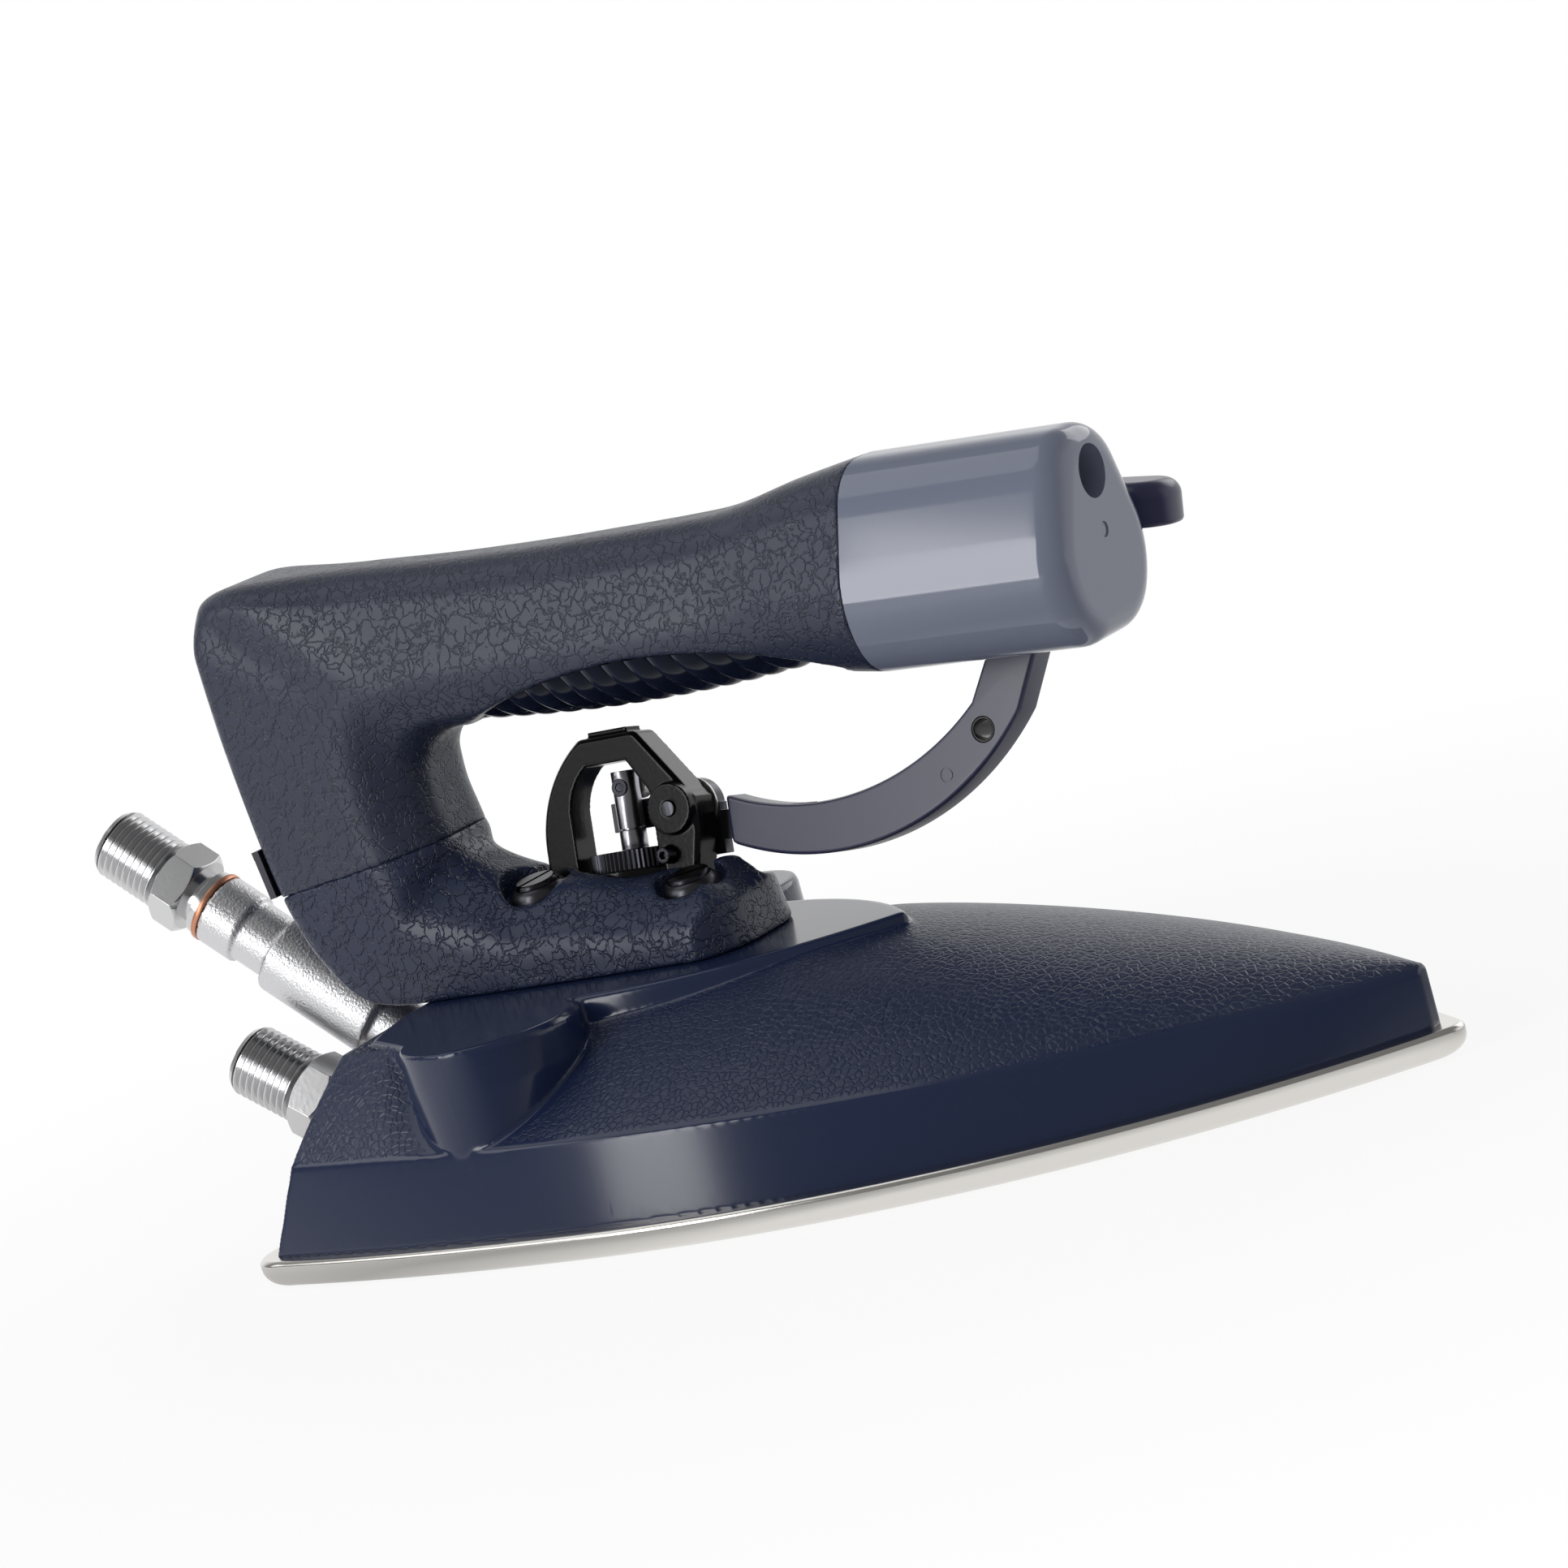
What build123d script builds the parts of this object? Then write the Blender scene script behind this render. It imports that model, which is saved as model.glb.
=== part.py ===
from build123d import *
from math import cos, radians, sin, sqrt
import os

# Industrial steam iron: a flat aluminium sole under a moulded cover, a handle with a steam valve beside it,
# and a thumb lever on the iron's left. Millimetres. +X points to the nose, +Z up, +Y to the iron's left.
# The origin is on the ironing face, midway along the sole.

# Shared clearances
SEAT_GAP = 0.3            # between pieces that rest in each other
FIT_GAP = 0.05            # round a pin, thread or plug that stands still in its bore
RUN_GAP = 0.05            # round a pin or stem that moves in its bore
CUT_OVER = 1.0            # how far a cutting tool runs past the piece
NEAR = 0.015              # a corner this close to its place is that corner

# Sole and its steam chamber
SOLE_LENGTH = 208.0
SOLE_WIDTH = 118.0
SOLE_REAR_WIDTH = 103.0
SOLE_THICK = 5.0
SOLE_EDGE_RADIUS = 3.4
SOLE_TOP_RADIUS = 0.9
WIDEST_X = -30.0          # where the sole is widest
REAR_CORNER_RADIUS = 7.0
NOSE_TIP_RADIUS = 3.6
CHAMBER_INSET = 14.0      # chamber wall, in from the sole's rim
CHAMBER_REAR_INSET = 17.0
CHAMBER_FRONT_X = 50.0
CHAMBER_HEIGHT = 9.0
CHAMBER_WALL = 5.0
STEAM_HOLE_RADIUS = 1.6
STEAM_HOLE_COUNT = 9      # on each side of the nose
STEAM_HOLE_INSET = 25.0
STEAM_HOLE_REAR_X = -34.0
STEAM_HOLE_FRONT_X = 38.0
GASKET_THICK = 1.0
LID_THICK = 3.0
LID_SCREW_RADIUS = 2.0
LID_SCREW_HEAD_RADIUS = 3.6
LID_SCREW_HEAD_HEIGHT = 2.2
LID_SCREW_DEPTH = 7.0
LID_SCREW_SHARES = (0.08, 0.42, 0.72)
LID_POST_RADIUS = 5.0     # post for the front foot screw
STEAM_PORT_RADIUS = 3.0
FELT_THICK = 1.5
FELT_INSET = 22.0
FELT_REAR_INSET = 25.0
FELT_GAP = 1.0

# Cover
COVER_INSET = 3.0         # cover wall, in from the sole's rim
CREASE_INSET = 2.2        # top of the band, in from the cover's foot
CREASE_REAR_Z = 19.8
CREASE_NOSE_Z = 13.9
CREASE_DROP_POWER = 2.2
BAND_REAR_RUN = 9.2       # and at the rear
COVER_REAR_RUN = 8.5      # how far the wall above the band leans forward
COVER_WALL = 2.6
APEX_Z = 36.2             # ridge of the cover under the pad
APEX_FLAT_X = -5.0        # where the ridge starts to fall
APEX_POWER = 1.25
SHOULDER_SHARE = 0.47     # shoulder of a section, as a share of its half width
SHOULDER_DROP_SHARE = 0.21
HIP_SHARE = 0.78          # the same at the boxy rear
HIP_DROP_SHARE = 0.035
HIP_FRONT_X = -62.0
FLANK_BULGE = 1.3
COVER_STATION_SHARES = (0.0, 0.09, 0.19, 0.28, 0.35, 0.50, 0.64, 0.76, 0.86, 0.93, 0.975, 0.992)
COVER_NOSE_HALF = 1.2     # half width of the cover's blunt nose
PAD_Z = 36.6
PAD_HALF = 26.5
PAD_WIDEST_X = -45.0
PAD_NOSE_X = 9.5
PAD_DEPTH = 7.0
PAD_BEVEL = 1.2
PAD_REAR_X = -83.5
PAD_HIP_X = -77.5
PAD_HIP_Y = 36.0
LOBE_X = -52.0            # round lobe on each side of the pad
LOBE_Y = 37.6
LOBE_RADIUS = 15.6
LOBE_FOOT_RADIUS = 12.6   # where its wall meets the crease; the outermost line stays upright
LOBE_EDGE = 1.2
LOBE_ENTRY = 34.0         # degrees round the lobe where the rear edge runs into it

# Handle: one lofted form from the foot on the pad, up the column and along the grip, cut at a seam
HANDLE_WIDTH = 29.4
HANDLE_REAR_X = -109.0
HANDLE_REACH = 133.5      # from the rear of the handle to the cap
HANDLE_RISE = 75.0        # from the pad to the top of the grip
# Sections, each with its inner point and its outer point as shares of the reach and the rise, and its form
HANDLE_SECTION_SHARES = (
    (0.760, 0.150, 0.760, -0.013, "deck"),
    (0.700, 0.168, 0.700, -0.013, "deck"),
    (0.640, 0.178, 0.640, -0.013, "deck"),
    (0.539, 0.182, 0.539, -0.013, "deck"),
    (0.457, 0.212, 0.457, -0.013, "deck"),
    (0.380, 0.222, 0.365, -0.013, "deck"),
    (0.318, 0.262, 0.245, -0.013, "neck"),
    (0.286, 0.305, 0.130, 0.012, "neck"),
    (0.275, 0.345, 0.053, 0.128, "column"),
    (0.270, 0.395, 0.020, 0.293, "column"),
    (0.265, 0.460, 0.004, 0.495, "column"),
    (0.268, 0.525, -0.006, 0.725, "column"),
    (0.284, 0.571, -0.008, 0.885, "column"),
    (0.304, 0.592, 0.020, 0.990, "bend"),
    (0.333, 0.600, 0.095, 1.024, "bend"),
    (0.390, 0.597, 0.222, 1.004, "grip"),
    (0.479, 0.592, 0.397, 0.978, "grip"),
    (0.607, 0.589, 0.577, 0.962, "grip"),
    (0.772, 0.584, 0.764, 0.954, "grip"),
    (0.899, 0.568, 0.895, 0.986, "swell"),
    (0.984, 0.545, 0.998, 1.009, "cap"),
)
# Forms: half width inside, in the middle and outside, the middle's place, and the three corner radii,
# as shares of half the handle's width
HANDLE_FORM_SHARES = {
    "deck": (0.22, 1.00, 0.50, 1.00, 0.45, 0.40, 0.06),
    "neck": (0.40, 1.00, 0.38, 0.96, 0.45, 0.40, 0.16),
    "column": (0.55, 1.00, 0.26, 0.90, 0.50, 0.40, 0.24),
    "bend": (0.60, 1.00, 0.27, 0.80, 0.55, 0.50, 0.40),
    "grip": (0.62, 1.00, 0.33, 0.60, 0.58, 0.78, 0.60),
    "swell": (0.68, 1.10, 0.34, 0.60, 0.62, 0.88, 0.62),
    "cap": (0.74, 1.17, 0.35, 0.60, 0.66, 1.00, 0.68),
}
SEAM_REAR_Z = 58.6
SEAM_FRONT_Z = 62.8
SEAM_GAP = 0.25
SEAM_RUN = 33.0           # from the rear end of the seam to its front end
SEAM_SECTION = 9          # the section that lies at the seam
FOOT_NOSE_X = -17.4
FOOT_NOSE_RADIUS = 12.0
FOOT_DRAFT = 9.0          # degrees that the foot's rounded front leans back
WELL_GAP = 0.8            # round the valve body in the foot
WELL_HALF_LENGTH = 17.6   # slot for the yoke
WELL_NEAR_V = -5.3
WELL_LOW_H = 25.4
WELL_REACH = 30.0         # how far the slot runs out through the far side
LEVER_ROOM = 1.0          # under the lever at the end of its travel
LEVER_ROOM_U = 42.0
CAP_LENGTH = 40.4
CAP_FRONT_RADIUS = 4.6
CAP_HOLE_RADIUS = 4.4
CAP_HOLE_SHARE = 0.775    # height of the hole in the cap's front
CAP_WALL = 3.0
CAP_SHELF = 3.0
CAP_SLEEVE_WALL = 1.8
CAP_SPIGOT_LENGTH = 7.0
CAP_SCREW_RADIUS = 2.0
CAP_SCREW_HEAD_RADIUS = 3.8
CAP_SCREW_HEAD_HEIGHT = 3.2
CAP_SCREW_LENGTH = 15.0

# Ribbed finger rest under the grip
REST_REAR_X = -65.0
REST_FRONT_X = 16.0
REST_RIBS = 18
REST_END_Z = 80.2         # where the pocket's line meets the grip's underside
REST_CREST_Z = 88.6
REST_HALF_WIDTH = 13.3
REST_CENTRE_Z = 90.0
REST_BOTTOM_Z = 79.2
REST_END_RISE = 2.6
REST_GROOVE = 1.3
REST_TOOTH_SHARE = 0.25   # length of the steep side of each tooth
REST_SLANT = 20.0         # degrees that the ribs lean
REST_GAP = 0.15

# Fasteners of the handle
FOOT_SCREW_Y = -3.6
FOOT_SCREW_FRONT_X = -28.0
FOOT_SCREW_FRONT_Z = 49.0
FOOT_SCREW_REAR_X = -58.6
FOOT_SCREW_REAR_Z = 52.3
FOOT_SCREW_TILT = 8.0     # degrees that the screws lean to the iron's right
FOOT_SCREW_RADIUS = 2.5
FOOT_SCREW_HEAD_RADIUS = 3.9
FOOT_SCREW_HEAD_HEIGHT = 1.6
FOOT_SCREW_TIP_Z = 30.6
FOOT_SCREW_SLOT = 0.9
CUP_RADIUS = 5.1
CUP_THICK = 1.2
RECESS_RADIUS = 6.1
COLUMN_BOLT_X = -91.0
COLUMN_BOLT_RADIUS = 3.0
COLUMN_BOLT_HEAD_RADIUS = 5.0
COLUMN_BOLT_HEAD_HEIGHT = 4.0
COLUMN_BOLT_LENGTH = 44.0
COLUMN_BOLT_Z = 45.0      # where its head bears
COLUMN_BOLT_SOCKET = 2.4
CLIP_SHARE = 0.04         # place up the column's rear
CLIP_Y = -8.6
CLIP_WIDTH = 8.0
CLIP_HEIGHT = 8.8
CLIP_LOW = 3.4            # from its lower edge up to its screw
CLIP_THICK = 1.4
CLIP_LIP = 4.0
CLIP_SCREW_RADIUS = 1.75
CLIP_SCREW_HEAD_RADIUS = 3.3
CLIP_SCREW_HEAD_HEIGHT = 2.8
CLIP_SCREW_DEPTH = 9.0

# Valve and its tilted frame: u along the iron, v across it and h up the stem
STEM_X = -44.4
STEM_FOOT_Z = 20.0
STEM_TILT = 12.5          # degrees, towards the iron's left
STEM_RADIUS = 1.8
STEM_TOP_H = 46.5
STEM_LOW_H = 4.6
SLEEVE_RADIUS = 2.35
SLEEVE_LOW_H = 37.6
SLEEVE_TOP_H = 47.5
COLLAR_RADIUS = 2.35
COLLAR_LOW_H = 34.0
COLLAR_TOP_H = 37.3
RING_RADIUS = 8.0
RING_LOW_H = 30.4
RING_TOP_H = 33.8
RING_TEETH = 36
RING_TOOTH_DEPTH = 0.35
BONNET_RADIUS = 6.6
BONNET_LOW_H = 20.0
BONNET_TOP_H = 33.5
PACKING_RADIUS = 3.6
PACKING_LOW_H = 24.0
PACKING_TOP_H = 29.0
BODY_RADIUS = 10.0
BODY_LOW_H = -4.0
BODY_TOP_H = 26.6
BODY_BORE_RADIUS = 5.4
SEAT_H = 3.0
SEAT_BORE_RADIUS = 2.8
DISC_RADIUS = 4.6
DISC_THICK = 3.0
DISC_GAP = 0.25
SPRING_RADIUS = 4.0
SPRING_WIRE = 0.9
ROLLER_RADIUS = 2.2
ROLLER_H = 44.7
SOCKET_SCREW_RADIUS = 1.5
SOCKET_RADIUS = 0.8
SOCKET_DEPTH = 0.9

# Yoke over the stem and the lever's pivot in it
YOKE_NEAR_V = -4.3
YOKE_FAR_V = 1.9
YOKE_FOOT_H = 26.6
YOKE_LEG_U = 15.8
YOKE_TOE = 1.6
YOKE_SHOULDER_H = 35.0
YOKE_BELLY_U = 13.2       # its left leg curves through here
YOKE_BELLY_H = 46.0
YOKE_TOP_U = 5.8
YOKE_TOP_H = 53.9
YOKE_TOP_RADIUS = 2.0
YOKE_RIGHT_U = 16.0
YOKE_BEND_H = 41.0
YOKE_WINDOW_U = 9.3
YOKE_WINDOW_SIDE_H = 43.0
YOKE_WINDOW_LEFT_H = 40.0
YOKE_WINDOW_BELLY_U = 8.2
YOKE_WINDOW_BELLY_H = 45.4
YOKE_WINDOW_TOP_U = 5.0
YOKE_WINDOW_TOP_H = 49.1
YOKE_WINDOW_TOP_RIGHT_U = 3.4
YOKE_WINDOW_RIGHT_U = 7.4
YOKE_WINDOW_RADIUS = 3.0
YOKE_RING_RADIUS = 9.4
YOKE_RING_H = 30.4
YOKE_EDGE = 0.6
YOKE_PAD_HEIGHT = 0.9
YOKE_PAD_LENGTH = 8.0
YOKE_PAD_WIDTH = 4.4
PIVOT_U = 11.6
PIVOT_H = 39.6
PIVOT_RADIUS = 2.0
PIVOT_RIVET_RADIUS = 1.25
PIVOT_RIVET_STAND = 0.3
PIVOT_HEAD = 1.2
PIVOT_HEAD_RADIUS = 3.6
BOSS_RADIUS = 4.35
BOSS_NEAR_V = -5.7
YOKE_SCREW_U = 9.6
YOKE_SCREW_H = 31.9
YOKE_SCREW_RADIUS = 1.4
YOKE_SCREW_NEAR_V = -6.6
YOKE_SCREW_FAR_V = -1.0

# Lever: steel plate with the hub and the short inner arm, and the moulded arm with the thumb rest
WASHER_THICK = 0.5
WASHER_RADIUS = 4.9
PLATE_THICK = 2.5
HUB_RADIUS = 4.7
ARM_TIP_U = -5.4
INNER_ARM_LOW_H = 37.3
INNER_ARM_TOP_H = 42.3
TAIL_U = 16.6
TAIL_LOW_H = 30.8
TAIL_WIDTH = 4.6
LEVER_NEAR_V = 1.4
LEVER_THICK = 6.2
LEVER_RELIEF = 1.0        # the shank stands further out, clear of the cap
LEVER_MID_H = 36.0        # middle of the arm's root
LEVER_START_U = 18.6
LEVER_START_LOW_H = 32.2
LEVER_START_TOP_H = 40.6
LEVER_LOW_U = 42.0
LEVER_LOW_H = 27.9
LEVER_DEPTH = 9.0
LEVER_RISE_U = 78.0
LEVER_RISE_H = 46.0
LEVER_RISE_LEAD = 2.6     # the inner curve runs this much higher
LEVER_SHANK_U = 86.0
LEVER_SHANK_H = 62.0
LEVER_TOP_U = 94.0
LEVER_SHANK_DEPTH = 9.4
LEVER_EDGE = 0.7
LEVER_CORNER = 1.6
LEVER_HOLE_U = 70.6
LEVER_HOLE_H = 43.8
LEVER_HOLE_RADIUS = 1.7
THUMB_REAR_U = 82.0
THUMB_FRONT_U = 109.5
THUMB_TOP_H = 79.8
THUMB_THICK = 7.4
THUMB_WIDTH = 12.8
THUMB_LEAN = 8.0          # degrees that the rest's front end drops
THUMB_ROLL = 8.0          # degrees that its outer edge rises
THUMB_EDGE = 2.8
THUMB_CORNER = 6.0
INSERT_WALL = 0.5
TANG_DEPTH = 16.0         # how far the steel plate reaches into the moulded arm
TANG_HEIGHT = 5.0
TANG_FALL = 1.6

# Steam inlet and condensate outlet
INLET_PITCH = 40.5        # degrees above level, towards the rear
INLET_X = -129.5          # centre of the inlet's washer
INLET_Z = 56.6
OUTLET_PITCH = 34.0
OUTLET_X = -105.4
OUTLET_Y = -9.0
OUTLET_Z = 17.5
THREAD_RADIUS = 6.58
THREAD_LENGTH = 13.4
THREAD_END_CHAMFER = 0.8
NIPPLE_BORE = 3.6
HEX_FLATS = 14.0
HEX_LENGTH = 6.2
NECK_RADIUS = 5.0
NECK_LENGTH = 3.4
NECK_FLANGE = 1.4
NECK_FLANGE_RADIUS = 6.2
TAIL_THREAD_RADIUS = 4.8
TAIL_THREAD_LENGTH = 7.0
COPPER_RADIUS = 6.7
COPPER_THICK = 1.1
PIPE_MOUTH_RADIUS = 6.6
PIPE_MOUTH_LENGTH = 7.4
PIPE_RADIUS = 5.9
PIPE_STEP = 15.0          # from the mouth to the thicker stretch
PIPE_THICK_RADIUS = 7.6
PIPE_THICK_END = 38.0
PIPE_LEVEL_Z = 26.0       # height of the level run to the valve
PIPE_BORE = 3.0
PIPE_WINDOW_GAP = 1.2
BODY_WINDOW_GAP = 0.6
OUTLET_BOSS_RADIUS = 6.6
OUTLET_BOSS_LENGTH = 20.0
OUTLET_BORE = 2.2
OUTLET_BEND_DEPTH = 12.0
OUTLET_NOTCH_HEIGHT = 9.0 # the cover is open this far up under the outlet
SCREW_DOME_SHARE = 0.9


def slab(face, y_low, y_high):
    """Stands up a side view, drawn with x and z, from y_low to y_high."""
    return extrude(Plane.XZ.offset(-y_high) * face, y_high - y_low, dir=(0, -1, 0))


def filled(*edges):
    """Closes a loop of edges into a face."""
    return make_face(Curve() + list(edges))


def rod(radius, z_low, z_high):
    """Upright cylinder between two heights."""
    return Pos(0, 0, z_low) * extrude(Circle(radius), z_high - z_low)


def arc_radius(run, drop):
    """Radius of an arc that starts level and falls by drop over run."""
    return (run ** 2 + drop ** 2) / (2 * drop)


# Plan of the iron

HALF_LENGTH = SOLE_LENGTH / 2
HALF_WIDTH = SOLE_WIDTH / 2
NOSE_ARC = arc_radius(HALF_LENGTH - WIDEST_X, HALF_WIDTH)
REAR_ARC = arc_radius(HALF_LENGTH + WIDEST_X, HALF_WIDTH - SOLE_REAR_WIDTH / 2)


def half_width(x, inset=0.0):
    """Half width of the plan at x, set in from the sole's rim."""
    arc = NOSE_ARC if x > WIDEST_X else REAR_ARC
    return HALF_WIDTH - arc + sqrt((arc - inset) ** 2 - (x - WIDEST_X) ** 2)


def nose_x(inset=0.0):
    """Where the plan comes to its point."""
    return WIDEST_X + sqrt((NOSE_ARC - inset) ** 2 - (NOSE_ARC - HALF_WIDTH) ** 2)


def plan_side(inset, rear_x, side):
    """The two arcs of one side of the plan, from the rear to the nose."""
    def at(x):
        return (x, side * half_width(x, inset))
    tip = nose_x(inset)
    widest = (WIDEST_X, side * (HALF_WIDTH - inset))
    rear = ThreePointArc(at(rear_x), at((rear_x + WIDEST_X) / 2), widest)
    nose = ThreePointArc(widest, at((tip + WIDEST_X) / 2), (tip, 0))
    return [rear, nose]


def iron_face(inset, rear_inset=None, corner=REAR_CORNER_RADIUS):
    """Plan of the iron as a face, set in all round."""
    rear_x = -HALF_LENGTH + (inset if rear_inset is None else rear_inset)
    near = plan_side(inset, rear_x, -1)
    far = plan_side(inset, rear_x, 1)
    back = Line(near[0] @ 0, far[0] @ 0)
    face = filled(back, *near, *far)
    by_x = face.vertices().group_by(Axis.X)
    face = fillet(by_x[0], corner)
    return fillet(face.vertices().sort_by(Axis.X)[-1], NOSE_TIP_RADIUS)


def foot_screw(x, head_z, z):
    """Frame on the axis of a foot screw at a height; its z runs up the screw."""
    angle = radians(FOOT_SCREW_TILT)
    up = (0, -sin(angle), cos(angle))
    y = FOOT_SCREW_Y + (head_z - z) * sin(angle) / cos(angle)
    return Plane(origin=(x, y, z), x_dir=(1, 0, 0), z_dir=up)


def screw_bore():
    """Bore for a foot screw, from its tip to above its head."""
    return rod(FOOT_SCREW_RADIUS + FIT_GAP, -CUT_OVER, FOOT_SCREW_REAR_Z)


FOOT_SCREWS = ((FOOT_SCREW_FRONT_X, FOOT_SCREW_FRONT_Z), (FOOT_SCREW_REAR_X, FOOT_SCREW_REAR_Z))


def hole_ring():
    """Places of the steam holes, in two rows that follow the nose."""
    spots = []
    for i in range(STEAM_HOLE_COUNT):
        share = i / (STEAM_HOLE_COUNT - 1)
        x = STEAM_HOLE_REAR_X + share * (STEAM_HOLE_FRONT_X - STEAM_HOLE_REAR_X)
        for side in (-1, 1):
            spots.append(Pos(x, side * half_width(x, STEAM_HOLE_INSET), 0))
    return spots


CHAMBER_TOP = SOLE_THICK + CHAMBER_HEIGHT
LID_LOW = CHAMBER_TOP + GASKET_THICK
LID_TOP = LID_LOW + LID_THICK


def cut_face(inset, rear_inset):
    """Plan of the iron set in all round, and cut short before the nose."""
    front_x = CHAMBER_FRONT_X - (inset - CHAMBER_INSET)
    keep = Rectangle(SOLE_LENGTH, SOLE_WIDTH, align=(Align.MAX, Align.CENTER))
    return iron_face(inset, rear_inset) & Pos(front_x, 0) * keep


def chamber_face(wall=0.0):
    """Plan of the chamber's outer wall, or of the space inside it."""
    return cut_face(CHAMBER_INSET + wall, CHAMBER_REAR_INSET + wall)


def chamber_ring():
    """Plan of the wall itself."""
    return chamber_face() - chamber_face(CHAMBER_WALL)


def lid_screw_spots():
    """Places of the lid's screws, along the middle of the chamber wall."""
    inset = CHAMBER_INSET + CHAMBER_WALL / 2
    rear = -HALF_LENGTH + CHAMBER_REAR_INSET
    reach = CHAMBER_FRONT_X - rear
    spots = []
    for share in LID_SCREW_SHARES:
        x = rear + share * reach
        for side in (-1, 1):
            spots.append(Pos(x, side * half_width(x, inset), 0))
    return spots


def pitched(x, y, z, pitch):
    """Frame whose z runs forwards and down into the iron at a pitch."""
    angle = radians(pitch)
    return Plane(origin=(x, y, z), x_dir=(0, 1, 0), z_dir=(cos(angle), 0, -sin(angle)))


INLET = pitched(INLET_X, 0, INLET_Z, INLET_PITCH)
OUTLET = pitched(OUTLET_X, OUTLET_Y, OUTLET_Z, OUTLET_PITCH)
TILT = radians(STEM_TILT)
VALVE = Plane(origin=(STEM_X, 0, STEM_FOOT_Z), x_dir=(1, 0, 0), z_dir=(0, sin(TILT), cos(TILT)))


def soleplate():
    """Flat sole with a rolled edge, steam holes, the wall of its chamber and the outlet's boss."""
    plate = extrude(iron_face(0), SOLE_THICK)
    plate = fillet(plate.edges().group_by(Axis.Z)[0], SOLE_EDGE_RADIUS)
    plate = fillet(plate.edges().group_by(Axis.Z)[-1], SOLE_TOP_RADIUS)
    plate += Pos(0, 0, SOLE_THICK) * extrude(chamber_ring(), CHAMBER_HEIGHT)
    boss = OUTLET * rod(OUTLET_BOSS_RADIUS, 0, OUTLET_BOSS_LENGTH)
    boss &= Pos(0, 0, SOLE_THICK / 2) * extrude(Rectangle(2 * SOLE_LENGTH, SOLE_WIDTH), CHAMBER_TOP)
    plate += boss
    plate -= OUTLET * rod(TAIL_THREAD_RADIUS + FIT_GAP, -CUT_OVER, TAIL_THREAD_LENGTH + CUT_OVER)
    bend = (OUTLET * Pos(0, 0, OUTLET_BEND_DEPTH)).position
    plate -= OUTLET * rod(OUTLET_BORE, -CUT_OVER, OUTLET_BEND_DEPTH)
    along = Plane(origin=(bend.X - OUTLET_BORE / 2, OUTLET_Y, bend.Z), z_dir=(1, 0, 0))
    plate -= along * rod(OUTLET_BORE, 0, CHAMBER_REAR_INSET + CHAMBER_WALL)
    plate -= [spot * rod(STEAM_HOLE_RADIUS, -CUT_OVER, SOLE_THICK + CUT_OVER) for spot in hole_ring()]
    screw = rod(LID_SCREW_RADIUS + FIT_GAP, LID_TOP - LID_SCREW_DEPTH, CHAMBER_TOP + CUT_OVER)
    return plate - [spot * screw for spot in lid_screw_spots()]


def chamber_gasket():
    """Flat ring between the chamber wall and its lid."""
    ring = Pos(0, 0, CHAMBER_TOP) * extrude(chamber_ring(), GASKET_THICK)
    screw = rod(LID_SCREW_RADIUS + FIT_GAP, CHAMBER_TOP - CUT_OVER, LID_LOW + CUT_OVER)
    return ring - [spot * screw for spot in lid_screw_spots()]


def chamber_lid():
    """Plate that closes the steam chamber, with the steam port and the post of the front foot screw."""
    lid = Pos(0, 0, LID_LOW) * extrude(chamber_face(), LID_THICK)
    post_top = APEX_Z - COVER_WALL - SEAT_GAP
    post_y = foot_screw(FOOT_SCREW_FRONT_X, FOOT_SCREW_FRONT_Z, (post_top + LID_TOP) / 2).origin.Y
    lid += Pos(FOOT_SCREW_FRONT_X, post_y, 0) * rod(LID_POST_RADIUS, LID_TOP, post_top)
    lid -= foot_screw(FOOT_SCREW_FRONT_X, FOOT_SCREW_FRONT_Z, FOOT_SCREW_TIP_Z) * screw_bore()
    lid -= Pos(STEM_X, 0, 0) * rod(STEAM_PORT_RADIUS, LID_LOW - CUT_OVER, LID_TOP + CUT_OVER)
    screw = rod(LID_SCREW_RADIUS + FIT_GAP, LID_LOW - CUT_OVER, LID_TOP + CUT_OVER)
    return lid - [spot * screw for spot in lid_screw_spots()]


def lid_screws():
    """Slotted pan-head screws that hold the lid down."""
    shank = rod(LID_SCREW_RADIUS, LID_TOP - LID_SCREW_DEPTH, LID_TOP)
    head = rod(LID_SCREW_HEAD_RADIUS, LID_TOP, LID_TOP + LID_SCREW_HEAD_HEIGHT)
    slot = Box(2 * LID_SCREW_HEAD_RADIUS, FOOT_SCREW_SLOT, LID_SCREW_HEAD_HEIGHT)
    screw = shank + head - Pos(0, 0, LID_TOP + LID_SCREW_HEAD_HEIGHT) * slot
    return [spot * screw for spot in lid_screw_spots()]


def heat_felt():
    """Felt mat on the lid, cut out round what stands on it."""
    mat = Pos(0, 0, LID_TOP) * extrude(cut_face(FELT_INSET, FELT_REAR_INSET), FELT_THICK)
    top = LID_TOP + FELT_THICK + CUT_OVER
    mat -= Pos(STEM_X, 0, 0) * rod(BODY_RADIUS + 2 * FELT_GAP, LID_TOP - CUT_OVER, top)
    post_y = foot_screw(FOOT_SCREW_FRONT_X, FOOT_SCREW_FRONT_Z, LID_TOP).origin.Y
    post = rod(LID_POST_RADIUS + 2 * FELT_GAP, LID_TOP - CUT_OVER, top)
    return mat - Pos(FOOT_SCREW_FRONT_X, post_y, 0) * post


# Cover

def crease_z(x):
    """Height of the crease above the cover's smooth band."""
    share = (x + HALF_LENGTH) / SOLE_LENGTH
    return CREASE_REAR_Z - (CREASE_REAR_Z - CREASE_NOSE_Z) * share ** CREASE_DROP_POWER


def apex_z(x):
    """Height of the cover's ridge, which falls from the pad to the nose."""
    run = max(0.0, x - APEX_FLAT_X) / (HALF_LENGTH - APEX_FLAT_X)
    return APEX_Z - (APEX_Z - CREASE_NOSE_Z) * run ** APEX_POWER


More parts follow.
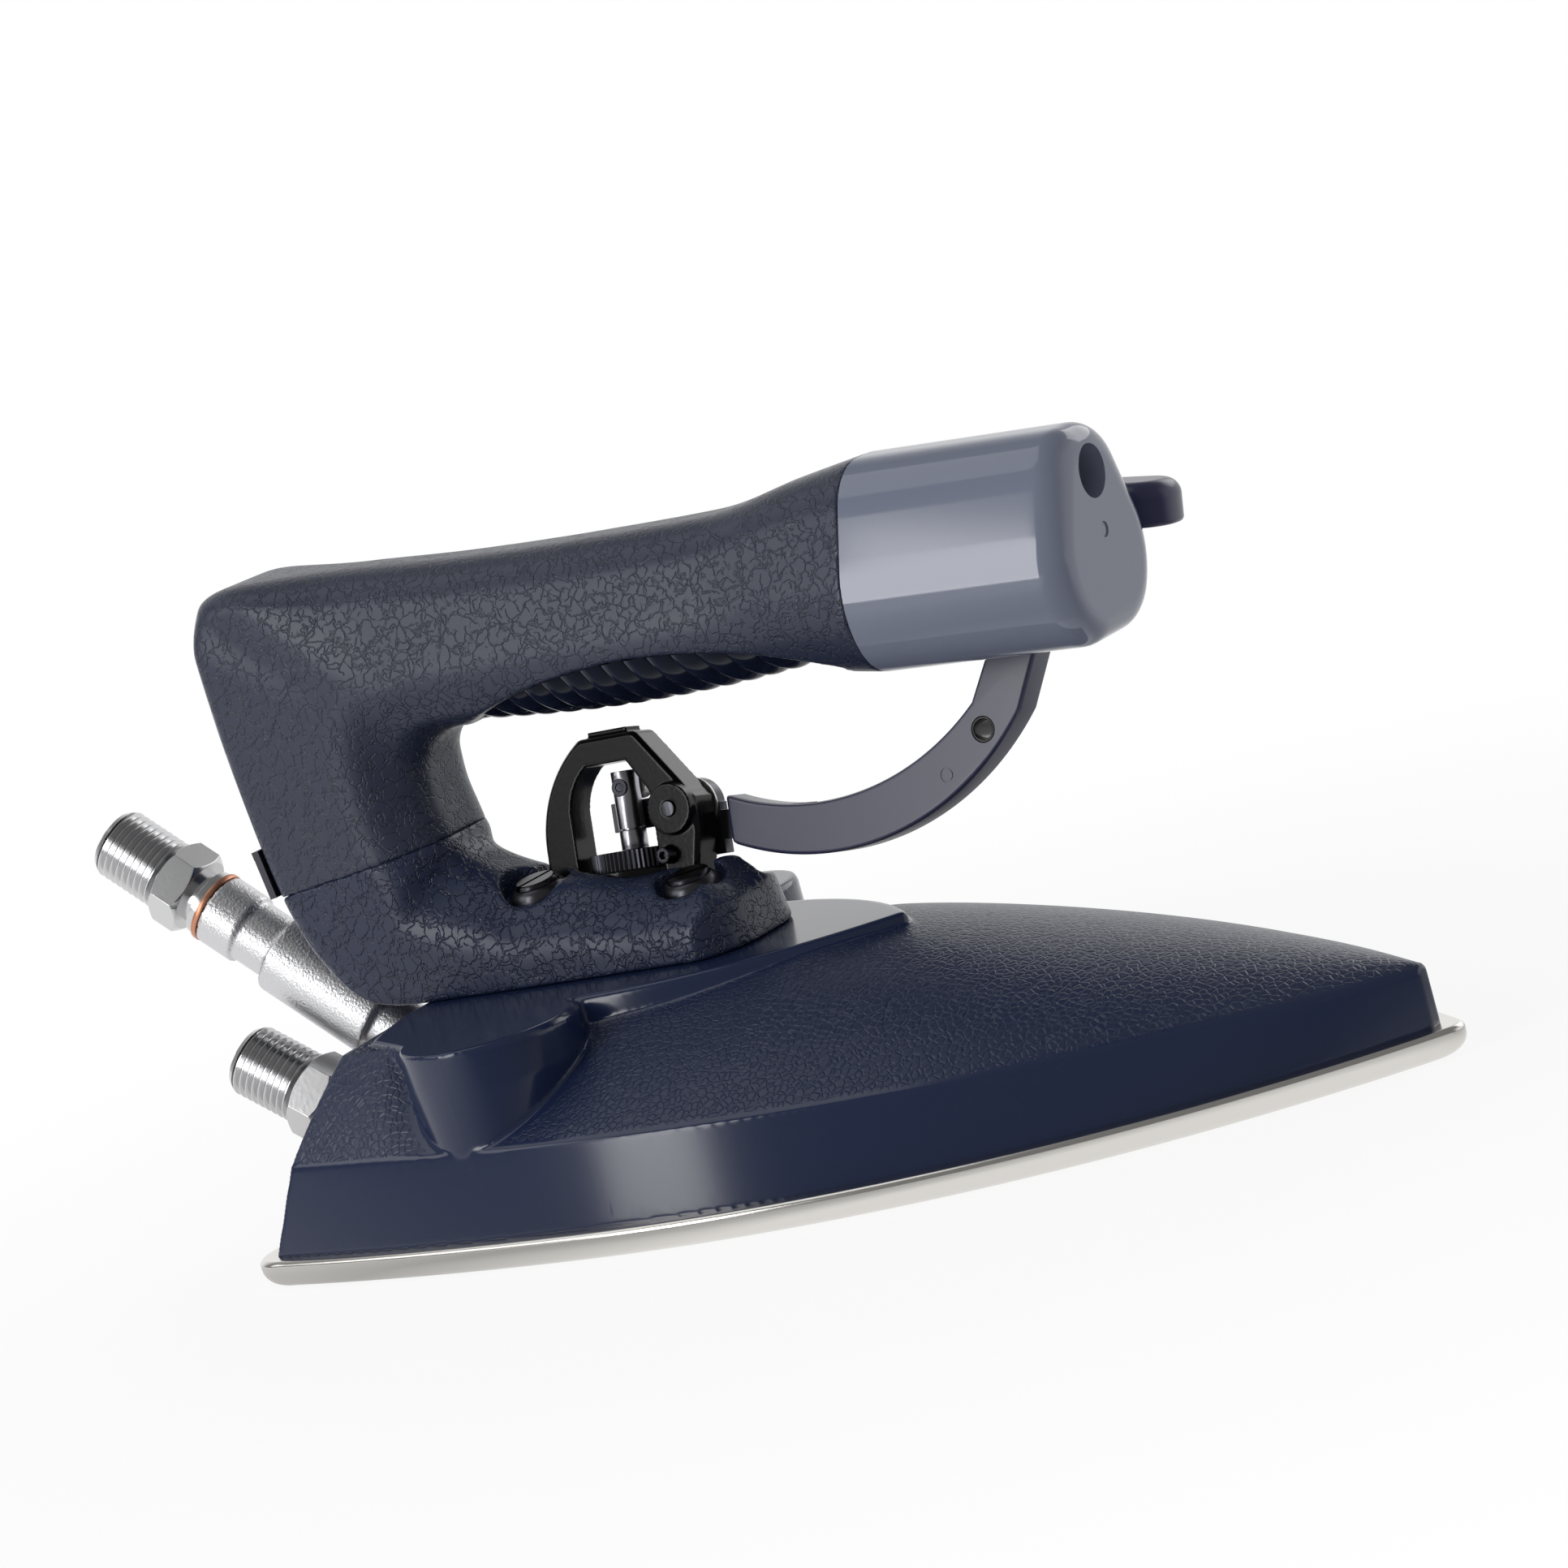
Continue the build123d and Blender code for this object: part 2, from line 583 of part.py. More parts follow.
def cover_section(x, wall):
    """One cross-section of the cover, or of its hollow when wall isn't zero."""
    low = SOLE_THICK if wall == 0 else SOLE_THICK - CUT_OVER
    foot_y = max(half_width(x, COVER_INSET), COVER_NOSE_HALF + wall) - wall
    crease_y = max(foot_y - CREASE_INSET * min(1.0, foot_y / PAD_HALF), foot_y / 2)
    side_z = crease_z(x) - wall / 2
    top_z = apex_z(x) - wall
    boxy = x < HIP_FRONT_X
    shoulder_y = crease_y * (HIP_SHARE if boxy else SHOULDER_SHARE)
    shoulder_z = top_z - (top_z - side_z) * (HIP_DROP_SHARE if boxy else SHOULDER_DROP_SHARE)
    mid_y = (crease_y + shoulder_y) / 2
    mid_z = (side_z + shoulder_z) / 2 + FLANK_BULGE * (top_z - side_z) / (APEX_Z - CREASE_REAR_Z)
    edges = [Line((-foot_y, low), (foot_y, low))]
    for side in (-1, 1):
        edges.append(Line((side * foot_y, low), (side * crease_y, side_z)))
        crease = (side * crease_y, side_z)
        shoulder = (side * shoulder_y, shoulder_z)
        edges.append(ThreePointArc(crease, (side * mid_y, mid_z), shoulder))
    edges.append(ThreePointArc((-shoulder_y, shoulder_z), (0, top_z), (shoulder_y, shoulder_z)))
    return Plane(origin=(x, 0, 0), x_dir=(0, 1, 0), z_dir=(1, 0, 0)) * filled(*edges)


def cover_form(wall):
    """Lofted body of the cover without its pad, before the rear is trimmed."""
    rear = -HALF_LENGTH + COVER_INSET
    reach = nose_x(COVER_INSET) - rear
    return loft([cover_section(rear + share * reach, wall) for share in COVER_STATION_SHARES])


def behind_cover(wall):
    """Everything behind the leaning rear of the cover, or behind its inner face."""
    foot_x = -HALF_LENGTH + COVER_INSET + wall
    crease_x = foot_x + BAND_REAR_RUN
    top_x = crease_x + COVER_REAR_RUN
    out_x = foot_x - SOLE_WIDTH
    low = SOLE_THICK - 2 * CUT_OVER
    rise = (PAD_Z - CREASE_REAR_Z) * CUT_OVER / COVER_REAR_RUN
    outline = Polyline((out_x, low), (foot_x, low), (foot_x, SOLE_THICK), (crease_x, CREASE_REAR_Z),
                       (top_x + CUT_OVER, PAD_Z + rise), (out_x, PAD_Z + rise), close=True)
    return slab(make_face(outline), -HALF_WIDTH, HALF_WIDTH)


def pad_face():
    """Plan of the raised pad: a pointed front, and hips at the rear that run into the lobes."""
    arc = arc_radius(PAD_NOSE_X - PAD_WIDEST_X, PAD_HALF)
    mid_x = (PAD_NOSE_X + PAD_WIDEST_X) / 2
    mid_y = PAD_HALF - arc + sqrt(arc ** 2 - (mid_x - PAD_WIDEST_X) ** 2)
    turn = radians(LOBE_ENTRY)
    lobe_rear = (LOBE_X - LOBE_RADIUS * cos(turn), LOBE_Y + LOBE_RADIUS * sin(turn))
    edges = []
    for side in (-1, 1):
        widest = (PAD_WIDEST_X, side * PAD_HALF)
        entry = (lobe_rear[0], side * lobe_rear[1])
        hip = (PAD_HIP_X, side * PAD_HIP_Y)
        edges.append(ThreePointArc(widest, (mid_x, side * mid_y), (PAD_NOSE_X, 0)))
        edges.append(Line(widest, entry))
        edges.append(Line(entry, hip))
    near_hip = (PAD_HIP_X, -PAD_HIP_Y)
    far_hip = (PAD_HIP_X, PAD_HIP_Y)
    edges.append(ThreePointArc(near_hip, (PAD_REAR_X, 0), far_hip))
    return filled(*edges)


def lobes(inset, z_low, z_high):
    """The two round lobes beside the pad; each narrows downwards but stays upright on its outermost line."""
    made = []
    for side in (-1, 1):
        sections = []
        for radius, z in ((LOBE_FOOT_RADIUS, z_low), (LOBE_RADIUS, z_high)):
            y = side * (LOBE_Y + LOBE_RADIUS - radius)
            sections.append(Pos(LOBE_X, y, z) * Circle(radius - inset))
        made.append(loft(sections))
    return made


def base_cover():
    """Moulded cover: smooth band, pebbled flanks, flat glossy pad and lobes, all one thin shell."""
    plan = pad_face() + [Pos(LOBE_X, side * LOBE_Y) * Circle(LOBE_RADIUS) for side in (-1, 1)]
    pad = Pos(0, 0, PAD_Z - PAD_DEPTH) * extrude(plan, PAD_DEPTH)
    pad = chamfer(pad.edges().group_by(Axis.Z)[-1], PAD_BEVEL)
    form = cover_form(0) + pad
    for lobe in lobes(0, crease_z(LOBE_X) - LOBE_EDGE, PAD_Z - PAD_DEPTH):
        form += lobe
    form -= behind_cover(0)
    hollow = cover_form(COVER_WALL)
    for lobe in lobes(COVER_WALL, SOLE_THICK - CUT_OVER, PAD_Z - COVER_WALL):
        hollow += lobe
    hollow -= behind_cover(COVER_WALL)
    form -= hollow
    form -= casting_pipe(PIPE_WINDOW_GAP)
    form -= OUTLET * rod(OUTLET_BOSS_RADIUS + PIPE_WINDOW_GAP, 0, OUTLET_BOSS_LENGTH)
    notch_half = OUTLET_BOSS_RADIUS + PIPE_WINDOW_GAP
    notch = Box(OUTLET_BOSS_LENGTH, 2 * notch_half, OUTLET_Z - SOLE_THICK,
                align=(Align.MIN, Align.CENTER, Align.MAX))
    form -= Pos(OUTLET_X, OUTLET_Y, SOLE_THICK + OUTLET_NOTCH_HEIGHT) * notch
    form -= VALVE * rod(BODY_RADIUS + BODY_WINDOW_GAP, 0, YOKE_TOP_H)
    return form - [foot_screw(x, z, FOOT_SCREW_TIP_Z) * screw_bore() for x, z in FOOT_SCREWS]


# Handle

def handle_point(along, up):
    """Point of the handle's side view, from its shares of the reach and the rise."""
    return (HANDLE_REAR_X + along * HANDLE_REACH, PAD_Z + up * HANDLE_RISE)


def handle_section(row, inset=0.0):
    """Rounded six-sided section between the handle's inner line and its outer line."""
    inner = handle_point(row[0], row[1])
    outer = handle_point(row[2], row[3])
    run = (outer[0] - inner[0], outer[1] - inner[1])
    depth = sqrt(run[0] ** 2 + run[1] ** 2)
    shares = HANDLE_FORM_SHARES[row[4]]
    halves = [share * HANDLE_WIDTH / 2 - inset for share in (shares[0], shares[1], shares[3])]
    radii = [max(share * HANDLE_WIDTH / 2 - inset, inset) for share in shares[4:]]
    levels = (inset, shares[2] * depth, depth - inset)
    right = [(half, level) for half, level in zip(halves, levels)]
    left = [(-half, level) for half, level in zip(halves, levels)]
    face = make_face(Polyline(*right, *reversed(left), close=True))
    for i in range(3):
        corners = [v for v in face.vertices() if abs(abs(v.X) - halves[i]) + abs(v.Y - levels[i]) < NEAR]
        face = fillet(corners, radii[i])
    outward = Vector(run[0] / depth, 0, run[1] / depth)
    across = Vector(0, -1, 0)
    plane = Plane(origin=(inner[0], 0, inner[1]), x_dir=across, z_dir=across.cross(outward))
    return plane * face


def seam_cutter(up):
    """Everything above the seam between foot and grip, or everything below it."""
    slope = (SEAM_FRONT_Z - SEAM_REAR_Z) / SEAM_RUN
    rear_x = HANDLE_REAR_X - HANDLE_WIDTH
    front_x = HANDLE_REAR_X + HANDLE_REACH + HANDLE_WIDTH
    gap = SEAM_GAP / 2 if up else -SEAM_GAP / 2
    rear_z = SEAM_REAR_Z - slope * HANDLE_WIDTH + gap
    front_z = SEAM_REAR_Z + slope * (front_x - HANDLE_REAR_X) + gap
    far_z = PAD_Z + (2 * HANDLE_RISE if up else -HANDLE_WIDTH)
    outline = Polyline((rear_x, rear_z), (front_x, front_z), (front_x, far_z), (rear_x, far_z), close=True)
    return slab(make_face(outline), -HANDLE_WIDTH, HANDLE_WIDTH)


def handle_form(upper):
    """Loft of the grip and column, or of the foot; both run past the seam, where they are cut."""
    rows = HANDLE_SECTION_SHARES[SEAM_SECTION - 1:] if upper else HANDLE_SECTION_SHARES[:SEAM_SECTION + 1]
    return loft([handle_section(row) for row in rows]) & seam_cutter(upper)


def bolt_bore():
    """Bore for the column bolt, from the pad to its tip."""
    return rod(COLUMN_BOLT_RADIUS + FIT_GAP, 0, COLUMN_BOLT_Z + COLUMN_BOLT_LENGTH)


def handle_foot():
    """Foot of the handle: crowned deck, well and slot for the valve, recesses for its two screws."""
    foot = handle_form(False)
    low = Pos(HANDLE_REAR_X, 0, PAD_Z) * Box(3 * HANDLE_REACH, 2 * HANDLE_WIDTH, HANDLE_RISE,
                                             align=(Align.CENTER, Align.CENTER, Align.MAX))
    foot -= low
    half = HANDLE_WIDTH / 2
    plan = Rectangle(HANDLE_REACH, 2 * half, align=(Align.MAX, Align.CENTER))
    plan = Pos(FOOT_NOSE_X, 0, PAD_Z) * fillet(plan.vertices().group_by(Axis.X)[-1], FOOT_NOSE_RADIUS)
    nose = extrude(plan, HANDLE_RISE, taper=FOOT_DRAFT)
    nose += Pos(FOOT_NOSE_X - 2 * FOOT_NOSE_RADIUS, 0, PAD_Z) * Box(
        HANDLE_REACH, 2 * HANDLE_WIDTH, HANDLE_RISE, align=(Align.MAX, Align.CENTER, Align.MIN))
    foot &= nose
    foot -= VALVE * rod(BODY_RADIUS + WELL_GAP, 0, BODY_TOP_H + WELL_GAP)
    foot -= VALVE * rod(YOKE_RING_RADIUS + WELL_GAP, 0, YOKE_TOP_H)
    slot = Box(2 * WELL_HALF_LENGTH, WELL_REACH, YOKE_TOP_H, align=(Align.CENTER, Align.MIN, Align.MIN))
    foot -= VALVE * Pos(0, WELL_NEAR_V, WELL_LOW_H) * slot
    room = Box(LEVER_ROOM_U - BODY_RADIUS, WELL_REACH, YOKE_TOP_H, align=(Align.MIN, Align.MIN, Align.MIN))
    foot -= VALVE * Pos(BODY_RADIUS, LEVER_NEAR_V - LEVER_ROOM, WELL_LOW_H + LEVER_ROOM) * room
    for x, head_z in FOOT_SCREWS:
        foot -= foot_screw(x, head_z, FOOT_SCREW_TIP_Z) * screw_bore()
        foot -= foot_screw(x, head_z, head_z) * rod(RECESS_RADIUS, -CUP_THICK, HANDLE_RISE / 2)
    foot -= Pos(COLUMN_BOLT_X, 0, 0) * bolt_bore()
    return foot - Pos(COLUMN_BOLT_X, 0, 0) * rod(COLUMN_BOLT_HEAD_RADIUS + SEAT_GAP, 0, COLUMN_BOLT_Z)


def rest_pocket(gap):
    """Space of the finger rest: everything in the grip's underside below an arched line."""
    crest_x = (REST_REAR_X + REST_FRONT_X) / 2
    rear = (REST_REAR_X + gap, REST_END_Z)
    front = (REST_FRONT_X - gap, REST_END_Z)
    low = REST_BOTTOM_Z - HANDLE_WIDTH / 2
    arch = ThreePointArc(rear, (crest_x, REST_CREST_Z - gap), front)
    face = filled(arch, Polyline(front, (front[0], low), (rear[0], low), rear))
    return slab(face, -HANDLE_WIDTH, HANDLE_WIDTH)


def cap_rear():
    """Frame in the cap's rear plane, with z along the grip towards the handle's rear."""
    row = HANDLE_SECTION_SHARES[-1]
    inner = Vector(*handle_point(row[0], row[1]))
    outer = Vector(*handle_point(row[2], row[3]))
    outward = Vector(outer.X - inner.X, 0, outer.Y - inner.Y).normalized()
    across = Vector(0, -1, 0)
    return Plane(origin=(inner.X, 0, inner.Y), x_dir=across, z_dir=across.cross(outward))


def cap_depth():
    """Height of the cap from its underside to its top."""
    row = HANDLE_SECTION_SHARES[-1]
    inner = handle_point(row[0], row[1])
    outer = handle_point(row[2], row[3])
    return sqrt((outer[0] - inner[0]) ** 2 + (outer[1] - inner[1]) ** 2)


def handle_grip():
    """Column and grip, with the pocket of the finger rest, the bolt's bore and the cap's spigot."""
    grip = handle_form(True)
    grip -= rest_pocket(0)
    spigot = handle_section(HANDLE_SECTION_SHARES[-1], CAP_WALL + REST_GAP)
    grip += extrude(spigot, -CAP_SPIGOT_LENGTH)
    hole = CAP_HOLE_SHARE * cap_depth()
    grip -= cap_rear() * Pos(0, hole, 0) * rod(CAP_SCREW_RADIUS + FIT_GAP, -CAP_LENGTH, CAP_SCREW_LENGTH)
    land = Box(CLIP_WIDTH + 2 * SEAT_GAP, CLIP_HEIGHT + 2 * SEAT_GAP, CLIP_LIP,
               align=(Align.CENTER, Align.MIN, Align.MIN))
    grip -= clip_frame() * Pos(0, -CLIP_LOW - SEAT_GAP, 0) * land
    grip -= clip_frame() * rod(CLIP_SCREW_RADIUS + FIT_GAP, -CLIP_SCREW_DEPTH, CUT_OVER)
    return grip - Pos(COLUMN_BOLT_X, 0, 0) * bolt_bore()


def handle_cap():
    """Smooth cap over the grip's front: a shell with a sleeve that leads to its screw."""
    row = HANDLE_SECTION_SHARES[-1]
    cap = extrude(handle_section(row), -CAP_LENGTH)
    front = cap.faces().sort_by(Axis.X)[-1]
    cap = fillet(front.edges(), CAP_FRONT_RADIUS)
    hollow = extrude(handle_section(row, CAP_WALL), -(CAP_LENGTH - CAP_WALL))
    place = cap_rear() * Pos(0, CAP_HOLE_SHARE * cap_depth(), 0)
    sleeve = place * rod(CAP_HOLE_RADIUS + CAP_SLEEVE_WALL, -CAP_LENGTH + CAP_WALL / 2, -CAP_SPIGOT_LENGTH)
    cap = cap - hollow + (sleeve & extrude(handle_section(row, CAP_WALL / 2), -(CAP_LENGTH - CAP_WALL / 2)))
    bearing = -CAP_SPIGOT_LENGTH - CAP_SHELF
    cap -= place * rod(CAP_HOLE_RADIUS, -CAP_LENGTH - CUT_OVER, bearing)
    return cap - place * rod(CAP_SCREW_RADIUS + FIT_GAP, bearing - CUT_OVER, CUT_OVER)


def cap_screw():
    """Screw at the bottom of the cap's sleeve, into the grip's spigot."""
    place = cap_rear() * Pos(0, CAP_HOLE_SHARE * cap_depth(), 0)
    bearing = -CAP_SPIGOT_LENGTH - CAP_SHELF
    head = rod(CAP_SCREW_HEAD_RADIUS, bearing - CAP_SCREW_HEAD_HEIGHT, bearing)
    cross = Box(CAP_SCREW_HEAD_RADIUS, FOOT_SCREW_SLOT, CAP_SCREW_HEAD_HEIGHT)
    cross += Rot(0, 0, 90) * cross
    screw = head + rod(CAP_SCREW_RADIUS, bearing, bearing + CAP_SCREW_LENGTH)
    return place * (screw - Pos(0, 0, bearing - CAP_SCREW_HEAD_HEIGHT) * cross)


def finger_rest():
    """Ribbed rest in the pocket: a row of leaning saw teeth round an oval core."""
    reach = REST_FRONT_X - REST_REAR_X
    pitch = reach / REST_RIBS
    depth = REST_CENTRE_Z - REST_BOTTOM_Z
    slant = radians(REST_SLANT)
    mid_x = (REST_REAR_X + REST_FRONT_X) / 2
    rings = []
    for i in range(2 * REST_RIBS + 1):
        step = i // 2 + (REST_TOOTH_SHARE if i % 2 else 0)
        x = REST_REAR_X + step * pitch
        share = 2 * (x - mid_x) / reach
        low = (REST_GROOVE if i % 2 == 0 else 0) + REST_END_RISE * share ** 2
        plane = Plane(origin=(x, 0, REST_CENTRE_Z), x_dir=(0, 1, 0), z_dir=(cos(slant), 0, sin(slant)))
        rings.append(plane * Ellipse(REST_HALF_WIDTH - low, (depth - low) / cos(slant)))
    teeth = loft(rings, ruled=True)
    return teeth & rest_pocket(REST_GAP)


def column_bolt():
    """Socket-head bolt that draws the grip down onto the foot."""
    shank = rod(COLUMN_BOLT_RADIUS, COLUMN_BOLT_Z, COLUMN_BOLT_Z + COLUMN_BOLT_LENGTH - CUT_OVER)
    head = rod(COLUMN_BOLT_HEAD_RADIUS, COLUMN_BOLT_Z - COLUMN_BOLT_HEAD_HEIGHT, COLUMN_BOLT_Z)
    socket = extrude(RegularPolygon(COLUMN_BOLT_SOCKET, 6, major_radius=False), COLUMN_BOLT_HEAD_HEIGHT / 2)
    bolt = shank + head - Pos(0, 0, COLUMN_BOLT_Z - COLUMN_BOLT_HEAD_HEIGHT) * socket
    return Pos(COLUMN_BOLT_X, 0, 0) * bolt


def foot_screws():
    """The two slotted screws that hold the foot down through the pad."""
    screws = []
    for x, head_z in FOOT_SCREWS:
        length = (head_z - FOOT_SCREW_TIP_Z) / cos(radians(FOOT_SCREW_TILT))
        screw = rod(FOOT_SCREW_RADIUS, -length, 0) + rod(FOOT_SCREW_HEAD_RADIUS, 0, FOOT_SCREW_HEAD_HEIGHT)
        slot = Box(2 * FOOT_SCREW_HEAD_RADIUS, FOOT_SCREW_SLOT, FOOT_SCREW_HEAD_HEIGHT)
        screws.append(foot_screw(x, head_z, head_z) * (screw - Pos(0, 0, FOOT_SCREW_HEAD_HEIGHT) * slot))
    return screws


def foot_cup_washers():
    """Cup washers under the two screws."""
    washer = rod(CUP_RADIUS, -CUP_THICK, 0) - rod(FOOT_SCREW_RADIUS + FIT_GAP, -2 * CUP_THICK, CUP_THICK)
    return [foot_screw(x, head_z, head_z) * washer for x, head_z in FOOT_SCREWS]


def clip_frame():
    """Frame on the column's rear, with z out of the handle and y up it."""
    rows = HANDLE_SECTION_SHARES[9:11]
    low = Vector(*handle_point(rows[0][2], rows[0][3]))
    high = Vector(*handle_point(rows[1][2], rows[1][3]))
    spot = low + (high - low) * (CLIP_SHARE + CLIP_LOW / (high - low).length)
    up = (high - low).normalized()
    return Plane(origin=(spot.X, CLIP_Y, spot.Y), x_dir=(0, -1, 0), z_dir=(-up.Y, 0, up.X))


def back_clip():
    """Small bent clip on the rear of the column, for tying the hose."""
    plate = Box(CLIP_WIDTH, CLIP_HEIGHT, CLIP_THICK, align=(Align.CENTER, Align.MIN, Align.MIN))
    lip = Box(CLIP_WIDTH, CLIP_THICK, CLIP_LIP, align=(Align.CENTER, Align.MAX, Align.MIN))
    clip = Pos(0, -CLIP_LOW, 0) * (plate + Pos(0, CLIP_HEIGHT, 0) * lip)
    clip -= rod(CLIP_SCREW_RADIUS + FIT_GAP, -CUT_OVER, CLIP_THICK + CUT_OVER)
    return clip_frame() * clip


def clip_screw():
    """Round-head screw of the clip."""
    low = CLIP_THICK
    head = rod(CLIP_SCREW_HEAD_RADIUS, low, low + CLIP_SCREW_HEAD_HEIGHT)
    head = fillet(head.edges().group_by(Axis.Z)[-1], CLIP_SCREW_HEAD_HEIGHT * SCREW_DOME_SHARE)
    return clip_frame() * (head + rod(CLIP_SCREW_RADIUS, low - CLIP_SCREW_DEPTH, low))


# Inlet, outlet and valve

def pipe_run(radius, start):
    """Round bar down the inlet pipe, round its elbow and level on to the valve."""
    reach = (INLET_Z - PIPE_LEVEL_Z) / sin(radians(INLET_PITCH))
    elbow = Plane(origin=(INLET_X + reach * cos(radians(INLET_PITCH)), 0, PIPE_LEVEL_Z), z_dir=(1, 0, 0))
    level = rod(radius, 0, STEM_X - elbow.origin.X)
    return INLET * rod(radius, start, reach) + elbow * Sphere(radius) + elbow * level


def casting_pipe(gap=0.0):
    """Outside of the inlet pipe: its mouth, neck, thick stretch, elbow and level run to the valve."""
    pipe = INLET * rod(PIPE_MOUTH_RADIUS + gap, 0, PIPE_MOUTH_LENGTH)
    pipe += pipe_run(PIPE_RADIUS + gap, 0)
    return pipe + INLET * rod(PIPE_THICK_RADIUS + gap, PIPE_STEP, PIPE_THICK_END)


def valve_casting():
    """Valve body with its inlet pipe and the boss of the rear foot screw, in one casting."""
    body = casting_pipe()
    body += VALVE * rod(BODY_RADIUS, BODY_LOW_H, BODY_TOP_H)
    boss_top = APEX_Z - COVER_WALL - SEAT_GAP
    boss_y = foot_screw(FOOT_SCREW_REAR_X, FOOT_SCREW_REAR_Z, (boss_top + PIPE_LEVEL_Z) / 2).origin.Y
    body += Pos(FOOT_SCREW_REAR_X, boss_y, 0) * rod(LID_POST_RADIUS, PIPE_LEVEL_Z, boss_top)
    under = Pos(0, 0, LID_TOP) * Box(2 * SOLE_LENGTH, SOLE_WIDTH, SOLE_WIDTH,
                                     align=(Align.CENTER, Align.CENTER, Align.MAX))
    body -= under
    body -= foot_screw(FOOT_SCREW_REAR_X, FOOT_SCREW_REAR_Z, FOOT_SCREW_TIP_Z) * screw_bore()
    body -= VALVE * rod(SEAT_BORE_RADIUS, BODY_LOW_H - CUT_OVER, SEAT_H)
    body -= VALVE * rod(BODY_BORE_RADIUS, 0, BODY_TOP_H + CUT_OVER)
    body -= VALVE * rod(BONNET_RADIUS + FIT_GAP, BONNET_LOW_H - FIT_GAP, BODY_TOP_H + CUT_OVER)
    body -= pipe_run(PIPE_BORE, -CUT_OVER)
    return body - INLET * rod(TAIL_THREAD_RADIUS + FIT_GAP, -CUT_OVER, TAIL_THREAD_LENGTH + CUT_OVER)


def nipple():
    """Hexagon nipple: thread to the hose, hexagon, neck with its flange, and thread into the iron."""
    z = -COPPER_THICK
    body = rod(NECK_FLANGE_RADIUS, z - NECK_FLANGE, z) + rod(NECK_RADIUS, z - NECK_LENGTH, z)
    z -= NECK_LENGTH
    hexagon = extrude(RegularPolygon(HEX_FLATS / 2, 6, major_radius=False), HEX_LENGTH)
    body += Pos(0, 0, z - HEX_LENGTH) * hexagon
    z -= HEX_LENGTH
    thread = rod(THREAD_RADIUS, z - THREAD_LENGTH, z)
    body += chamfer(thread.edges().group_by(Axis.Z)[0], THREAD_END_CHAMFER)
    body += rod(TAIL_THREAD_RADIUS, -COPPER_THICK - NECK_FLANGE, TAIL_THREAD_LENGTH)
    return body - rod(NIPPLE_BORE, z - THREAD_LENGTH - CUT_OVER, TAIL_THREAD_LENGTH + CUT_OVER)


def copper_washer():
    """Copper sealing washer in front of a nipple's mouth."""
    bore = rod(TAIL_THREAD_RADIUS + FIT_GAP, -2 * COPPER_THICK, COPPER_THICK)
    return rod(COPPER_RADIUS, -COPPER_THICK, 0) - bore


def valve_seat():
    """Seat ring pressed into the valve body."""
    ring = rod(BODY_BORE_RADIUS - FIT_GAP, 0, SEAT_H)
    return VALVE * (ring - rod(SEAT_BORE_RADIUS, -CUT_OVER, SEAT_H + CUT_OVER))


def valve_bonnet():
    """Bonnet screwed into the body, with the stem's guide and the packing's pocket."""
    bonnet = rod(BONNET_RADIUS, BONNET_LOW_H, BONNET_TOP_H)
    bonnet -= rod(STEM_RADIUS + RUN_GAP, BONNET_LOW_H - CUT_OVER, BONNET_TOP_H + CUT_OVER)
    return VALVE * (bonnet - rod(PACKING_RADIUS + FIT_GAP, PACKING_LOW_H, PACKING_TOP_H))


def stem_packing():
    """Packing ring round the stem, inside the bonnet."""
    ring = rod(PACKING_RADIUS, PACKING_LOW_H + FIT_GAP, PACKING_TOP_H - FIT_GAP)
    return VALVE * (ring - rod(STEM_RADIUS + RUN_GAP, PACKING_LOW_H - CUT_OVER, PACKING_TOP_H + CUT_OVER))


def bonnet_ring():
    """Serrated ring nut that clamps the yoke onto the valve body."""
    outline = []
    for i in range(2 * RING_TEETH):
        radius = RING_RADIUS - (RING_TOOTH_DEPTH if i % 2 else 0)
        angle = radians(180 * i / RING_TEETH)
        outline.append((radius * cos(angle), radius * sin(angle)))
    nut = Pos(0, 0, RING_LOW_H) * extrude(make_face(Polyline(*outline, close=True)), RING_TOP_H - RING_LOW_H)
    return VALVE * (nut - rod(BONNET_RADIUS + FIT_GAP, RING_LOW_H - CUT_OVER, RING_TOP_H + CUT_OVER))


def valve_stem():
    """Stem with the collar that shows above the bonnet."""
    stem = rod(STEM_RADIUS, STEM_LOW_H, STEM_TOP_H)
    stem += rod(COLLAR_RADIUS, COLLAR_LOW_H, COLLAR_TOP_H)
    return VALVE * stem


def valve_disc():
    """Sealing disc on the stem's lower end."""
    low = SEAT_H + DISC_GAP
    disc = rod(DISC_RADIUS, low, low + DISC_THICK)
    return VALVE * (disc - rod(STEM_RADIUS + FIT_GAP, STEM_LOW_H - FIT_GAP, low + DISC_THICK + CUT_OVER))


def stem_spring():
    """Return spring above the disc, as a plain tube."""
    low = SEAT_H + DISC_GAP + DISC_THICK + FIT_GAP
    tube = rod(SPRING_RADIUS, low, BONNET_LOW_H - FIT_GAP)
    return VALVE * (tube - rod(SPRING_RADIUS - SPRING_WIRE, low - CUT_OVER, BONNET_LOW_H))


def stem_sleeve():
    """Sleeve over the stem's top, drilled for its set screw and its roller pin."""
    sleeve = rod(SLEEVE_RADIUS, SLEEVE_LOW_H, SLEEVE_TOP_H)
    sleeve -= rod(STEM_RADIUS + FIT_GAP, SLEEVE_LOW_H - CUT_OVER, STEM_TOP_H + FIT_GAP)
    drill = across(SOCKET_SCREW_RADIUS + FIT_GAP, -SLEEVE_RADIUS - CUT_OVER, -STEM_RADIUS)
    return VALVE * (sleeve - Pos(0, 0, ROLLER_H) * drill)


def across(radius, v_low, v_high):
    """Rod that lies across the iron, between two places."""
    return Rot(90, 0, 0) * rod(radius, -v_high, -v_low)


